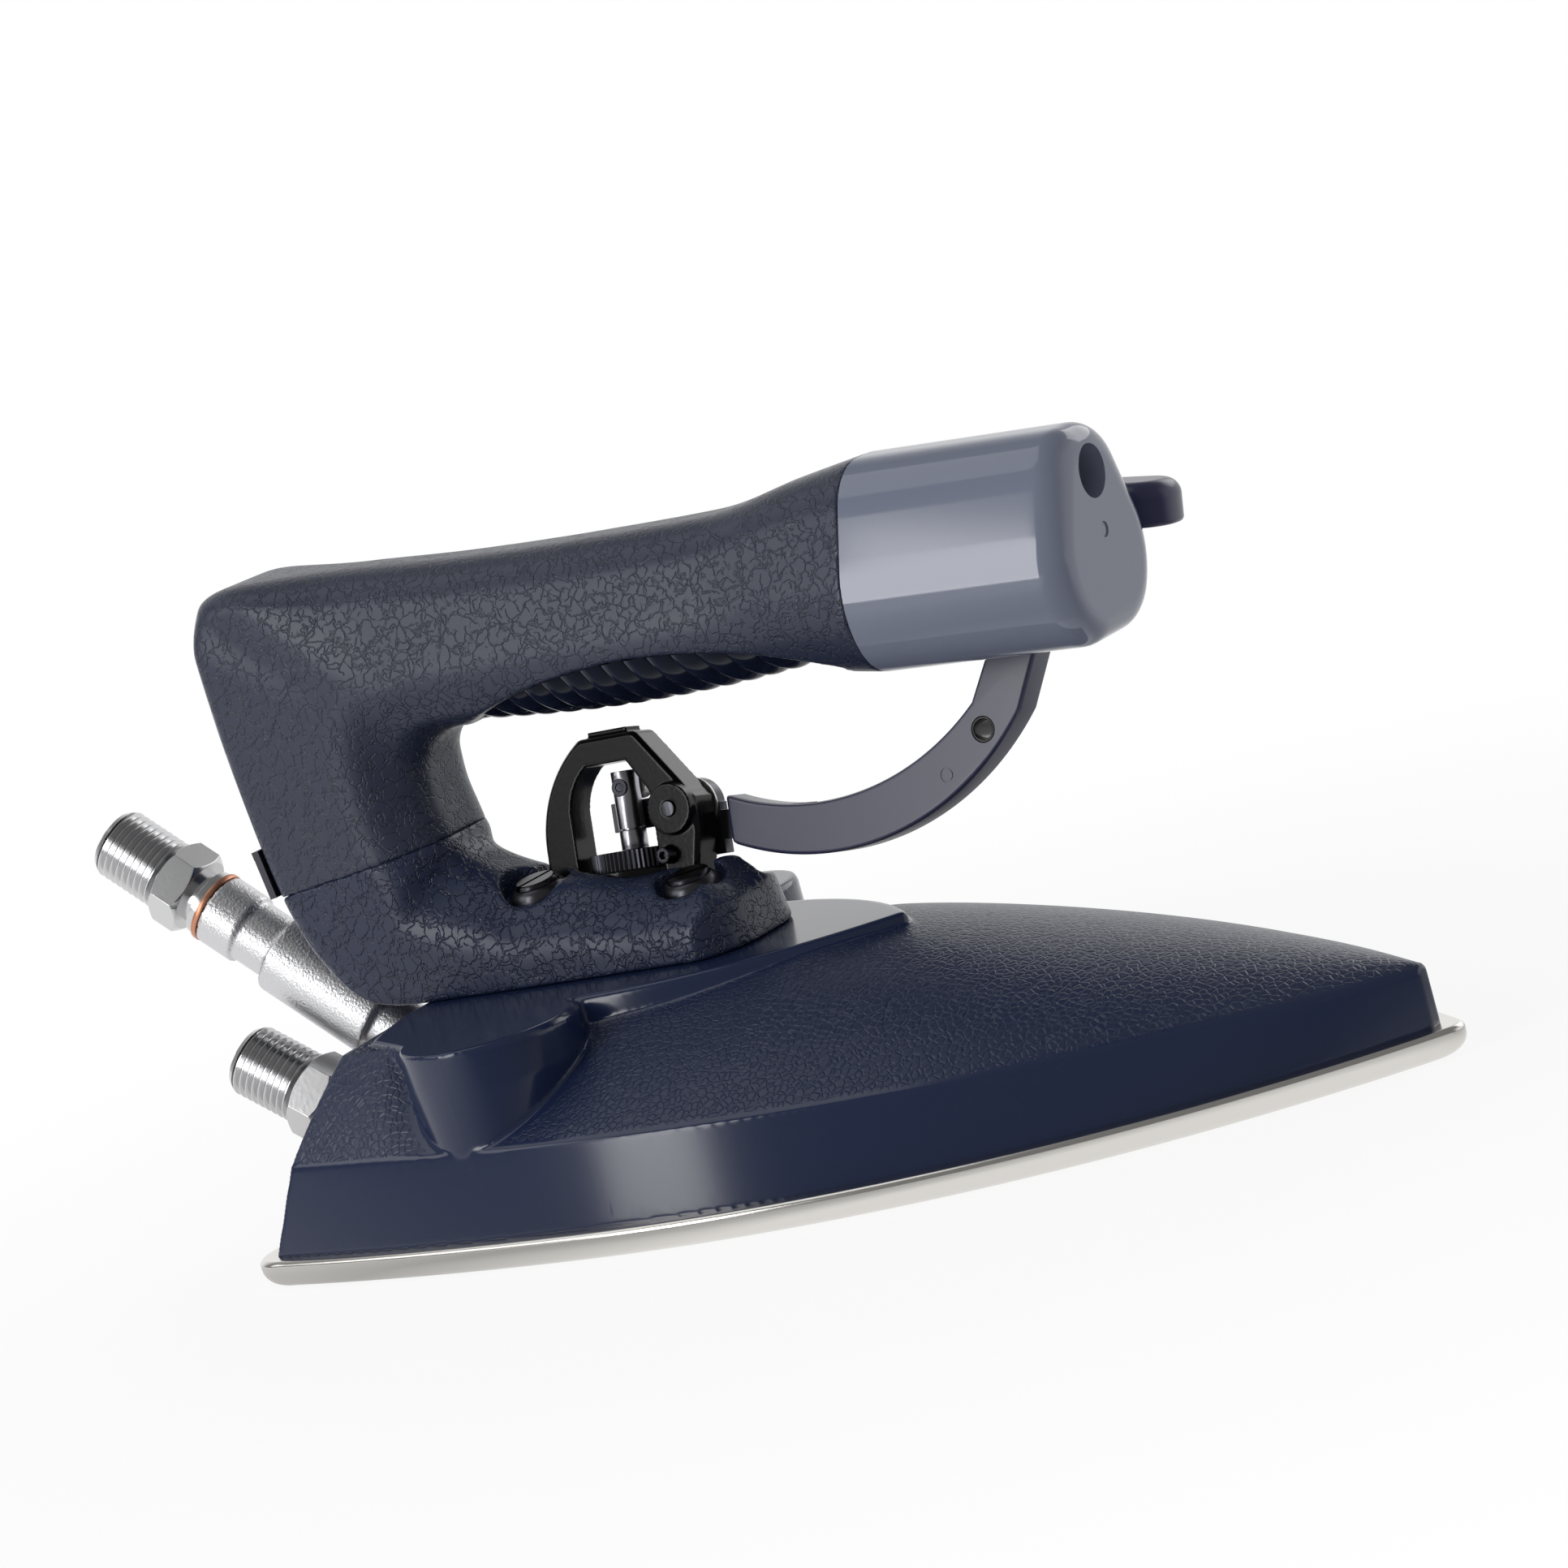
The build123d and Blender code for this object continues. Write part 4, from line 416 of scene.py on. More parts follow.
def plate(name, outline, z_low, z_high):
    """Lays a plan, drawn with x and y, from z_low to z_high."""
    return skin(name, [[(x, y, z) for x, y in outline] for z in (z_low, z_high)])


def place(obj, frame_matrix):
    """Puts a piece that was drawn at the origin in a frame, given in millimetres."""
    matrix = frame_matrix.copy()
    matrix.translation = frame_matrix.translation * MM
    obj.data.transform(matrix)
    return obj


def axes_frame(origin, x_axis, y_axis, z_axis):
    """Frame from its origin and its three axes."""
    matrix = Matrix((x_axis, y_axis, z_axis)).transposed().to_4x4()
    matrix.translation = Vector(origin)
    return matrix


def bake(obj):
    """Turns an object and its modifiers into a plain mesh."""
    evaluated = obj.evaluated_get(bpy.context.evaluated_depsgraph_get())
    mesh = bpy.data.meshes.new_from_object(evaluated)
    obj.modifiers.clear()
    obj.data = mesh
    return obj


def cut(obj, *tools, how="DIFFERENCE"):
    """Cuts tools away from a piece, joins them to it, or keeps what they share."""
    for tool in tools:
        change = obj.modifiers.new("cut", "BOOLEAN")
        change.operation = how
        change.solver = "EXACT"
        change.object = tool
        bake(obj)
        bpy.data.objects.remove(tool)
    return obj


def joined(obj, *others):
    """Puts more shells into one piece."""
    work = bmesh.new()
    work.from_mesh(obj.data)
    for other in others:
        work.from_mesh(other.data)
        bpy.data.objects.remove(other)
    work.to_mesh(obj.data)
    work.free()
    return obj


def moulded(obj, voxel, passes, keep):
    """Makes one even skin with soft moulded edges, voxel wide."""
    remesh = obj.modifiers.new("skin", "REMESH")
    remesh.mode = "VOXEL"
    remesh.voxel_size = voxel * MM
    smooth = obj.modifiers.new("soft", "SMOOTH")
    smooth.iterations = passes
    if keep < 1:
        fewer = obj.modifiers.new("fewer", "DECIMATE")
        fewer.ratio = keep
    return bake(obj)


def bevelled(obj, width=BEVEL, steps=BEVEL_STEPS, angle=SHARP_ANGLE):
    """Breaks the sharp edges of a machined piece."""
    edge = obj.modifiers.new("edge", "BEVEL")
    edge.width = width * MM
    edge.segments = steps
    edge.limit_method = "ANGLE"
    edge.angle_limit = math.radians(angle)
    return bake(obj)


def from_solid(name, node):
    """Copy of a solid's mesh, merged."""
    obj = bpy.data.objects.new(name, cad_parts[node].data.copy())
    bpy.context.scene.collection.objects.link(obj)
    outward(obj)
    return obj


def finished(obj, material, body, nodes, sharp=SHARP_ANGLE):
    """Shades a piece, gives it its finish, hangs it on its body and hides the solids that it stands for."""
    obj.data.materials.clear()
    obj.data.materials.append(material)
    obj.data.shade_smooth()
    if sharp:
        obj.data.set_sharp_from_angle(angle=math.radians(sharp))
        flat = obj.modifiers.new("flat", "WEIGHTED_NORMAL")
        flat.keep_sharp = True
        bake(obj)
    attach(obj, body)
    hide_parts(*nodes)
    return obj


def pitched(origin, pitch):
    """Frame whose z runs forwards and down into the iron at a pitch."""
    angle = math.radians(pitch)
    z_axis = Vector((math.cos(angle), 0, -math.sin(angle)))
    x_axis = Vector((0, 1, 0))
    return axes_frame(origin, x_axis, z_axis.cross(x_axis), z_axis)


INLET = pitched(INLET_PLACE, INLET_PITCH)
OUTLET = pitched(OUTLET_PLACE, OUTLET_PITCH)
TILT = math.radians(STEM_TILT)
VALVE = axes_frame((STEM_X, 0, STEM_FOOT_Z), Vector((1, 0, 0)), Vector((0, math.cos(TILT), -math.sin(TILT))),
                   Vector((0, math.sin(TILT), math.cos(TILT))))
ACROSS = axes_frame((0, 0, 0), Vector((1, 0, 0)), Vector((0, 0, -1)), Vector((0, 1, 0)))


def arc(first, middle, last, steps=FINE_STEPS):
    """Points along the arc through three points."""
    (ax, ay), (bx, by), (cx, cy) = first, middle, last
    span = 2 * (ax * (by - cy) + bx * (cy - ay) + cx * (ay - by))
    a2, b2, c2 = ax * ax + ay * ay, bx * bx + by * by, cx * cx + cy * cy
    ox = (a2 * (by - cy) + b2 * (cy - ay) + c2 * (ay - by)) / span
    oy = (a2 * (cx - bx) + b2 * (ax - cx) + c2 * (bx - ax)) / span
    radius = math.hypot(ax - ox, ay - oy)
    start = math.atan2(ay - oy, ax - ox)
    turn = (math.atan2(cy - oy, cx - ox) - start) % (2 * math.pi)
    mid_turn = (math.atan2(by - oy, bx - ox) - start) % (2 * math.pi)
    if mid_turn > turn:
        turn -= 2 * math.pi
    angles = [start + turn * k / steps for k in range(steps + 1)]
    return [(ox + radius * math.cos(angle), oy + radius * math.sin(angle)) for angle in angles]


def rounded(corners, radii, steps=CORNER_STEPS, sides=0):
    """Polygon with rounded corners; each side gets extra points."""
    count = len(corners)
    points = []
    for i in range(count):
        corner = Vector(corners[i])
        before = (Vector(corners[i - 1]) - corner).normalized()
        after = (Vector(corners[(i + 1) % count]) - corner).normalized()
        half = before.angle(after) / 2
        reach = radii[i] / math.tan(half)
        middle = corner + (before + after).normalized() * radii[i] / math.sin(half)
        first = corner + before * reach - middle
        last = corner + after * reach - middle
        turn = first.angle_signed(last) if first.length and last.length else 0.0
        for k in range(steps + 1):
            angle = -turn * k / steps
            x = first.x * math.cos(angle) - first.y * math.sin(angle)
            y = first.x * math.sin(angle) + first.y * math.cos(angle)
            points.append((middle.x + x, middle.y + y))
        if sides:
            following = Vector(corners[(i + 1) % count])
            ahead = (Vector(corners[(i + 2) % count]) - following).normalized()
            back = (corner - following).normalized()
            end = following + back * radii[(i + 1) % count] / math.tan(back.angle(ahead) / 2)
            start = corner + after * reach
            points += [tuple(start.lerp(end, k / (sides + 1))) for k in range(1, sides + 1)]
    return points


# Plan of the iron


def arc_radius(run, drop):
    """Radius of an arc that starts level and falls by drop over run."""
    return (run ** 2 + drop ** 2) / (2 * drop)


NOSE_ARC = arc_radius(HALF_LENGTH - WIDEST_X, HALF_WIDTH)
REAR_ARC = arc_radius(HALF_LENGTH + WIDEST_X, HALF_WIDTH - SOLE_REAR_HALF)


def half_width(x, inset=0.0):
    """Half width of the plan at x, set in from the sole's rim."""
    bend = NOSE_ARC if x > WIDEST_X else REAR_ARC
    return HALF_WIDTH - bend + math.sqrt(max(0.0, (bend - inset) ** 2 - (x - WIDEST_X) ** 2))


def nose_x(inset=0.0):
    """Where the plan comes to its point."""
    return WIDEST_X + math.sqrt((NOSE_ARC - inset) ** 2 - (NOSE_ARC - HALF_WIDTH) ** 2)


def plan_ring(inset, z, corner, tip_radius):
    """Ring round the plan at a height, with rounded rear corners and nose."""
    rear = -HALF_LENGTH + inset
    tip = nose_x(inset)
    angle = math.atan2(half_width(tip - tip_radius, inset), tip_radius)
    centre = tip - tip_radius / math.sin(angle)
    side_end = centre + tip_radius * math.sin(angle)
    edge = half_width(rear + corner, inset)
    near = [(rear + corner - corner * cosine, edge - corner + corner * sine) for sine, cosine in quarter()]
    for k in range(1, ROUND_STEPS):
        x = rear + corner + (side_end - rear - corner) * k / ROUND_STEPS
        near.append((x, half_width(x, inset)))
    for k in range(CORNER_STEPS + 1):
        turn = (math.pi / 2 - angle) * (1 - k / CORNER_STEPS)
        near.append((centre + tip_radius * math.cos(turn), tip_radius * math.sin(turn)))
    far = [(x, -y) for x, y in reversed(near[:-1])]
    return np.array([(x, y, z) for x, y in near + far])


def sole_plate():
    """Sole with its rolled edge and its steam holes."""
    rings = []
    for sine, cosine in quarter():
        inset = SOLE_EDGE * (1 - sine)
        rings.append(plan_ring(inset, SOLE_EDGE * (1 - cosine), REAR_CORNER - inset / 2, NOSE_TIP))
    for sine, cosine in quarter():
        top_z = SOLE_THICK - SOLE_TOP_EDGE * (1 - sine)
        rings.append(plan_ring(SOLE_TOP_EDGE * (1 - cosine), top_z, REAR_CORNER, NOSE_TIP))
    holes = []
    for i in range(STEAM_HOLE_COUNT):
        x = STEAM_HOLE_REAR_X + i / (STEAM_HOLE_COUNT - 1) * (STEAM_HOLE_FRONT_X - STEAM_HOLE_REAR_X)
        for side in (-1, 1):
            base = Matrix.Translation((x, side * half_width(x, STEAM_HOLE_INSET), 0))
            holes.append(rod(STEAM_HOLE_RADIUS, -OVER, SOLE_THICK + OVER, base, FINE_STEPS))
    return cut(skin("sole", rings), joined(*holes))


# Cover


def crease_z(x):
    """Height of the crease above the cover's smooth band."""
    share = (x + HALF_LENGTH) / (2 * HALF_LENGTH)
    return CREASE_REAR_Z - (CREASE_REAR_Z - CREASE_NOSE_Z) * max(0.0, share) ** CREASE_DROP_POWER


def apex_z(x):
    """Height of the cover's ridge, which falls from the pad to the nose."""
    run = max(0.0, x - APEX_FLAT_X) / (HALF_LENGTH - APEX_FLAT_X)
    return APEX_Z - (APEX_Z - CREASE_NOSE_Z) * run ** APEX_POWER


def cover_ring(x):
    """One cross-section of the cover."""
    foot_y = max(half_width(x, COVER_INSET), COVER_NOSE_HALF)
    crease_y = max(foot_y - CREASE_INSET * min(1.0, foot_y / PAD_HALF), foot_y / 2)
    side_z = crease_z(x)
    top_z = max(apex_z(x), side_z)
    boxy = min(1.0, max(0.0, (HIP_FRONT_X + HIP_BLEND / 2 - x) / HIP_BLEND))
    boxy = boxy * boxy * (3 - 2 * boxy)
    shoulder_y = crease_y * (SHOULDER_SHARE + (HIP_SHARE - SHOULDER_SHARE) * boxy)
    drop = SHOULDER_DROP_SHARE + (HIP_DROP_SHARE - SHOULDER_DROP_SHARE) * boxy
    shoulder_z = top_z - (top_z - side_z) * drop
    mid_y = (crease_y + shoulder_y) / 2
    mid_z = (side_z + shoulder_z) / 2 + FLANK_BULGE * (top_z - side_z) / (APEX_Z - CREASE_REAR_Z)
    flank = arc((crease_y, side_z), (mid_y, mid_z), (shoulder_y, shoulder_z), FINE_STEPS // 2)
    ridge = arc((shoulder_y, shoulder_z), (0, top_z), (-shoulder_y, shoulder_z), FINE_STEPS // 2)
    band = [(foot_y + (crease_y - foot_y) * k / CORNER_STEPS,
             SOLE_THICK + (side_z - SOLE_THICK) * k / CORNER_STEPS) for k in range(CORNER_STEPS)]
    band.insert(0, (foot_y, COVER_FOOT_Z))
    half = band + flank
    points = half + ridge[1:-1] + [(-y, z) for y, z in reversed(half)]
    return np.array([(x, y, z) for y, z in points])


def trim_behind(obj, low_point, high_point):
    """Cuts off what lies behind a leaning plane through two points of the side view."""
    work = bmesh.new()
    work.from_mesh(obj.data)
    lean = Vector((high_point[0] - low_point[0], 0, high_point[1] - low_point[1])).normalized()
    normal = Vector((lean.z, 0, -lean.x))
    spot = Vector((low_point[0], 0, low_point[1])) * MM
    found = bmesh.ops.bisect_plane(work, geom=work.verts[:] + work.edges[:] + work.faces[:], plane_co=spot,
                                   plane_no=-normal, clear_outer=True)
    edges = [item for item in found["geom_cut"] if isinstance(item, bmesh.types.BMEdge)]
    bmesh.ops.contextual_create(work, geom=edges)
    work.to_mesh(obj.data)
    work.free()
    outward(obj)


def pad_outline():
    """Plan of the raised pad, round its two lobes too."""
    bend = arc_radius(PAD_NOSE_X - PAD_WIDEST_X, PAD_HALF)
    mid_x = (PAD_NOSE_X + PAD_WIDEST_X) / 2
    mid_y = PAD_HALF - bend + math.sqrt(bend ** 2 - (mid_x - PAD_WIDEST_X) ** 2)
    entry = math.radians(LOBE_ENTRY)
    inside = LOBE_RADIUS - 2 * LOBE_EDGE
    lobe_rear = (LOBE_X - inside * math.cos(entry), LOBE_Y + inside * math.sin(entry))
    front = arc((PAD_NOSE_X, 0), (mid_x, mid_y), (PAD_WIDEST_X, PAD_HALF))
    side = [lobe_rear, (PAD_HIP_X, PAD_HIP_Y)]
    back = arc((PAD_HIP_X, PAD_HIP_Y), (PAD_REAR_X, 0), (PAD_HIP_X, -PAD_HIP_Y))
    other = [(x, -y) for x, y in reversed(front[:-1] + side[:1])]
    return front + side + back[1:] + other[:-1]


def cover_shell():
    """Cover: smooth band, pebbled flanks, flat pad and lobes in one skin."""
    rear = -HALF_LENGTH + COVER_INSET
    reach = (nose_x(COVER_INSET) - rear) * COVER_LAST_SHARE
    cover = skin("cover", [cover_ring(rear + reach * k / COVER_STATIONS) for k in range(COVER_STATIONS + 1)])
    spread_y = 1 + PAD_DEPTH * math.tan(math.radians(PAD_DRAFT)) / PAD_HALF
    outline = pad_outline()
    low = [(x, y * spread_y if x > LOBE_X else y, PAD_Z - PAD_DEPTH) for x, y in outline]
    pad = skin("pad", [low, [(x, y, PAD_Z) for x, y in outline]])
    pads = [bevelled(pad, PAD_BEVEL, BEVEL_STEPS, 2 * SHARP_ANGLE)]
    lobe = ((LOBE_FOOT_RADIUS, crease_z(LOBE_X) - LOBE_LOW_DROP), (LOBE_RADIUS, PAD_Z - PAD_DEPTH),
            (LOBE_RADIUS, PAD_Z - LOBE_EDGE), (LOBE_RADIUS - LOBE_EDGE, PAD_Z))
    for side in (-1, 1):
        rings = [circle(radius, z) + np.array([LOBE_X, side * (LOBE_Y + LOBE_RADIUS - radius), 0])
                 for radius, z in lobe]
        pads.append(skin("lobe", rings))
    cut(cover, *pads, how="UNION")
    crease_x = rear + BAND_REAR_RUN
    crease_rear_z = crease_z(-HALF_LENGTH)
    trim_behind(cover, (rear, SOLE_THICK), (crease_x, crease_rear_z))
    trim_behind(cover, (crease_x, crease_rear_z), (crease_x + COVER_REAR_RUN, PAD_Z))
    well = rod(BODY_RADIUS + WELL_GAP, -STEM_FOOT_Z, YOKE_TOP_H, VALVE)
    window = rod(PIPE_WINDOW_RADIUS, OVER, HALF_WIDTH, INLET)
    boss = rod(OUTLET_BOSS_RADIUS + OVER, 0, OUTLET_BOSS_LENGTH, OUTLET)
    return cut(cover, well, window, boss)


# Handle


def spread(values, share):
    """Value between rows of numbers, on a smooth curve through them that doesn't overshoot."""
    low = int(min(math.floor(share), len(values) - 2))
    t = share - low
    rows = np.asarray(values, dtype=float)
    steps = np.diff(rows, axis=0)

    def slope(i):
        if i == 0:
            return steps[0]
        if i == len(rows) - 1:
            return steps[-1]
        before, after = steps[i - 1], steps[i]
        same = before * after > 0
        return np.where(same, 2 * before * after / np.where(same, before + after, 1), 0)
    first, last = slope(low), slope(low + 1)
    return ((2 * t ** 3 - 3 * t ** 2 + 1) * rows[low] + (t ** 3 - 2 * t ** 2 + t) * first
            + (3 * t ** 2 - 2 * t ** 3) * rows[low + 1] + (t ** 3 - t ** 2) * last)


def handle_rows():
    """Each given section as one row of numbers."""
    return [row[:4] + HANDLE_FORM_SHARES[row[4]] for row in HANDLE_SECTION_SHARES]


def handle_place(row):
    """Origin, outward direction and depth of a section."""
    inner = Vector((HANDLE_REAR_X + row[0] * HANDLE_REACH, 0, PAD_Z + row[1] * HANDLE_RISE))
    outer = Vector((HANDLE_REAR_X + row[2] * HANDLE_REACH, 0, PAD_Z + row[3] * HANDLE_RISE))
    return inner, (outer - inner).normalized(), (outer - inner).length


def handle_ring(row, inset=0.0):
    """Rounded six-sided section of the handle."""
    inner, outward_axis, depth = handle_place(row)
    halves = [share * HANDLE_HALF - inset for share in (row[4], row[5], row[7])]
    radii = [max(share * HANDLE_HALF - inset, FIT_GAP) for share in row[8:11]]
    levels = (inset, row[6] * depth, depth - inset)
    corners = [(halves[0], levels[0]), (halves[1], levels[1]), (halves[2], levels[2]),
               (-halves[2], levels[2]), (-halves[1], levels[1]), (-halves[0], levels[0])]
    outline = rounded(corners, radii + radii[::-1], CORNER_STEPS, SIDE_STEPS)
    return np.array([inner + outward_axis * level + Vector((0, -side, 0)) for side, level in outline])


def handle_skin(name, first, last):
    """Skin of the handle between two of its given sections."""
    rows = handle_rows()
    steps = (last - first) * ROWS_BETWEEN
    return skin(name, [handle_ring(spread(rows, first + k / ROWS_BETWEEN)) for k in range(steps + 1)])


def seam_outline(up):
    """Side view of everything above the seam, or below it."""
    slope = (SEAM_FRONT_Z - SEAM_REAR_Z) / SEAM_RUN
    gap = SEAM_GAP / 2 if up else -SEAM_GAP / 2
    far_z = PAD_Z + 2 * HANDLE_RISE if up else PAD_Z - HANDLE_RISE
    ends = (HANDLE_REAR_X - 2 * HANDLE_HALF, HANDLE_REAR_X + HANDLE_REACH + 2 * HANDLE_HALF)
    seam = [(x, SEAM_REAR_Z + slope * (x - HANDLE_REAR_X) + gap) for x in ends]
    return seam + [(ends[1], far_z), (ends[0], far_z)]


def side_cut(outline):
    """Cutter across the whole handle from its side view."""
    return slab("side_cut", outline, -HANDLE_HALF * 2, HANDLE_HALF * 2)


def rest_pocket(gap):
    """Pocket of the finger rest, drawn in by a gap for what fits in it."""
    rear_x, front_x = REST_REAR_X + gap, REST_FRONT_X - gap
    arch = arc((rear_x, REST_END_Z), ((rear_x + front_x) / 2, REST_CREST_Z - gap), (front_x, REST_END_Z))
    low_z = REST_BOTTOM_Z - HANDLE_HALF
    return side_cut(arch + [(front_x, low_z), (rear_x, low_z)])


def foot_screw_frame(x, head_z):
    """Frame at the head of a foot screw, with z up the screw."""
    angle = math.radians(FOOT_SCREW_TILT)
    up = Vector((0, -math.sin(angle), math.cos(angle)))
    return axes_frame((x, FOOT_SCREW_Y, head_z), Vector((1, 0, 0)), up.cross(Vector((1, 0, 0))), up)


def foot_block():
    """Foot of the handle with the well, the lever's room and the screws' recesses."""
    foot = handle_skin("foot", 0, SEAM_ROW)
    rear_x = HANDLE_REAR_X - HANDLE_HALF
    edge_z = PAD_Z + FOOT_HEIGHT - FOOT_NOSE_EDGE
    rings = []
    for z in (PAD_Z - OVER, edge_z, PAD_Z + HANDLE_RISE / 2):
        lean = (z - PAD_Z) * math.tan(math.radians(FOOT_DRAFT)) + max(0.0, z - edge_z)
        front_x = FOOT_NOSE_X - lean
        corners = [(rear_x, HANDLE_HALF * 2), (rear_x, -HANDLE_HALF * 2), (front_x, -HANDLE_HALF),
                   (front_x, HANDLE_HALF)]
        outline = rounded(corners, (OVER, OVER, FOOT_NOSE_RADIUS, FOOT_NOSE_RADIUS))
        rings.append([(x, y, z) for x, y in outline])
    cut(foot, skin("nose", rings), how="INTERSECT")
    below = block("below", (-2 * HALF_LENGTH, -HALF_WIDTH, 0), (2 * HALF_LENGTH, HALF_WIDTH, PAD_Z))
    well = rod(BODY_RADIUS + WELL_GAP, 0, BODY_TOP_H + WELL_GAP, VALVE)
    collar = rod(YOKE_RING_RADIUS + WELL_GAP, 0, YOKE_TOP_H, VALVE)
    slot = place(block("slot", (-WELL_HALF_LENGTH, WELL_NEAR_V, WELL_LOW_H),
                       (WELL_HALF_LENGTH, WELL_REACH, WELL_LOW_H + YOKE_TOP_H)), VALVE)
    room = place(block("room", (BODY_RADIUS, LEVER_NEAR_V - LEVER_ROOM, WELL_LOW_H + LEVER_ROOM),
                       (LEVER_ROOM_U, WELL_REACH, WELL_LOW_H + YOKE_TOP_H)), VALVE)
    cut(foot, side_cut(seam_outline(True)), below, well, collar, slot, room)
    for x, head_z, _ in FOOT_SCREW_PLACES:
        cut(foot, rod(RECESS_RADIUS, -CUP_THICK, HANDLE_RISE / 2, foot_screw_frame(x, head_z)))
    return foot


def grip_column():
    """Column and grip with the pocket of the finger rest."""
    grip = handle_skin("grip", SEAM_ROW - 1, len(HANDLE_SECTION_SHARES) - 1)
    return cut(grip, side_cut(seam_outline(False)), rest_pocket(0.0))


def rest_ribs():
    """Ribbed finger rest: leaning saw teeth round an oval core."""
    reach = REST_FRONT_X - REST_REAR_X
    depth = REST_CENTRE_Z - REST_BOTTOM_Z
    slant = math.radians(REST_SLANT)
    mid_x = (REST_REAR_X + REST_FRONT_X) / 2
    angles = np.linspace(0, 2 * math.pi, FINE_STEPS * 2, endpoint=False)
    rings = []
    steps = REST_RIBS * REST_STEPS
    for k in range(steps + 1):
        phase = k % REST_STEPS / REST_STEPS
        x = REST_REAR_X + reach * k / steps
        share = 2 * (x - mid_x) / reach
        rise = phase / REST_TOOTH_SHARE if phase < REST_TOOTH_SHARE else (1 - phase) / (1 - REST_TOOTH_SHARE)
        rise = math.sin(rise * math.pi / 2)
        low = REST_GROOVE * (1 - rise) + REST_END_RISE * share ** 2
        side = (REST_HALF_WIDTH - low) * np.cos(angles)
        up = (depth - low) / math.cos(slant) * np.sin(angles)
        rings.append(np.stack([x - up * math.sin(slant), side, REST_CENTRE_Z + up * math.cos(slant)], 1))
    return cut(skin("finger_rest_ribs", rings), rest_pocket(FIT_GAP), how="INTERSECT")


def cap_frame():
    """Frame in the cap's rear plane: y up the section and z towards the front of the grip."""
    inner, outward_axis, depth = handle_place(HANDLE_SECTION_SHARES[-1])
    across = Vector((0, -1, 0))
    return axes_frame(inner, across, outward_axis, across.cross(outward_axis)), depth


def cap_shell():
    """Smooth cap with a rounded front edge, the hole to its screw and the mark of its gate."""
    row = handle_rows()[-1]
    base, depth = cap_frame()
    ahead = np.array(-(base.to_3x3() @ Vector((0, 0, 1))))
    rings = [handle_ring(row) + ahead * (CAP_LENGTH - CAP_FRONT_RADIUS) * k / CAP_ROWS
             for k in range(CAP_ROWS + 1)]
    for sine, cosine in quarter(CAP_FRONT_ROWS)[1:]:
        ring = handle_ring(row, CAP_FRONT_RADIUS * (1 - cosine))
        rings.append(ring + ahead * (CAP_LENGTH - CAP_FRONT_RADIUS * (1 - sine)))
    holes = []
    for radius, deep, share in (CAP_HOLE, GATE_MARK):
        spot = base @ Matrix.Translation((0, share * depth, 0))
        holes.append(rod(radius, deep - CAP_LENGTH, -CAP_LENGTH - OVER, spot))
    return cut(skin("cap", rings), *holes)


# Fasteners


def slotted(obj, top_z, radius, angle):
    """Cuts a screwdriver slot in a head."""
    low = (-radius - OVER, -SLOT_WIDTH / 2, top_z - SLOT_DEPTH)
    slot = block("slot", low, (radius + OVER, SLOT_WIDTH / 2, top_z + OVER))
    slot.data.transform(Matrix.Rotation(math.radians(angle), 4, "Z"))
    return cut(obj, slot)


def foot_screw_pieces():
    """The two foot screws with their cup washers."""
    screws, washers = [], []
    for x, head_z, angle in FOOT_SCREW_PLACES:
        base = foot_screw_frame(x, head_z)
        edge = FOOT_SCREW_HEAD_HEIGHT / 2
        screw = turned("screw", [(FOOT_SCREW_RADIUS, FOOT_SCREW_TIP_Z - head_z), (FOOT_SCREW_RADIUS, 0),
                                 (FOOT_SCREW_HEAD, edge),
                                 (FOOT_SCREW_HEAD - SLOT_DEPTH / 2, FOOT_SCREW_HEAD_HEIGHT)])
        screws.append(place(slotted(bevelled(screw), FOOT_SCREW_HEAD_HEIGHT, FOOT_SCREW_HEAD, angle), base))
        washer = turned("washer", [(FOOT_SCREW_RADIUS + FIT_GAP, -CUP_THICK), (CUP_RADIUS, -CUP_THICK),
                                   (CUP_RADIUS - edge / 2, 0), (FOOT_SCREW_HEAD, edge),
                                   (FOOT_SCREW_RADIUS + FIT_GAP, -CUP_THICK / 2)], hollow=True)
        washers.append(place(bevelled(washer, BEVEL / 2), base))
    return joined(*screws), joined(*washers)


def clip_frame():
    """Frame on the column's rear, with z out of it."""
    rows = HANDLE_SECTION_SHARES[CLIP_ROW:CLIP_ROW + 2]
    ends = [Vector((HANDLE_REAR_X + row[2] * HANDLE_REACH, 0, PAD_Z + row[3] * HANDLE_RISE)) for row in rows]
    up = (ends[1] - ends[0]).normalized()
    spot = ends[0] + (ends[1] - ends[0]) * CLIP_SHARE + up * CLIP_LOW + Vector((0, CLIP_Y, 0))
    out = Vector((-up.z, 0, up.x))
    x_axis = Vector((0, -1, 0))
    return axes_frame(spot, x_axis, out.cross(x_axis), out)


def clip_screw_piece():
    """Round-head screw of the clip."""
    dome = [(CLIP_SCREW_HEAD * cosine, CLIP_THICK + CLIP_SCREW_HEIGHT * sine)
            for sine, cosine in quarter()[:-1]]
    screw = turned("clip_screw_head", dome)
    slotted(screw, CLIP_THICK + CLIP_SCREW_HEIGHT, CLIP_SCREW_HEAD, CLIP_SLOT_ANGLE)
    return place(screw, clip_frame())


# Nodes


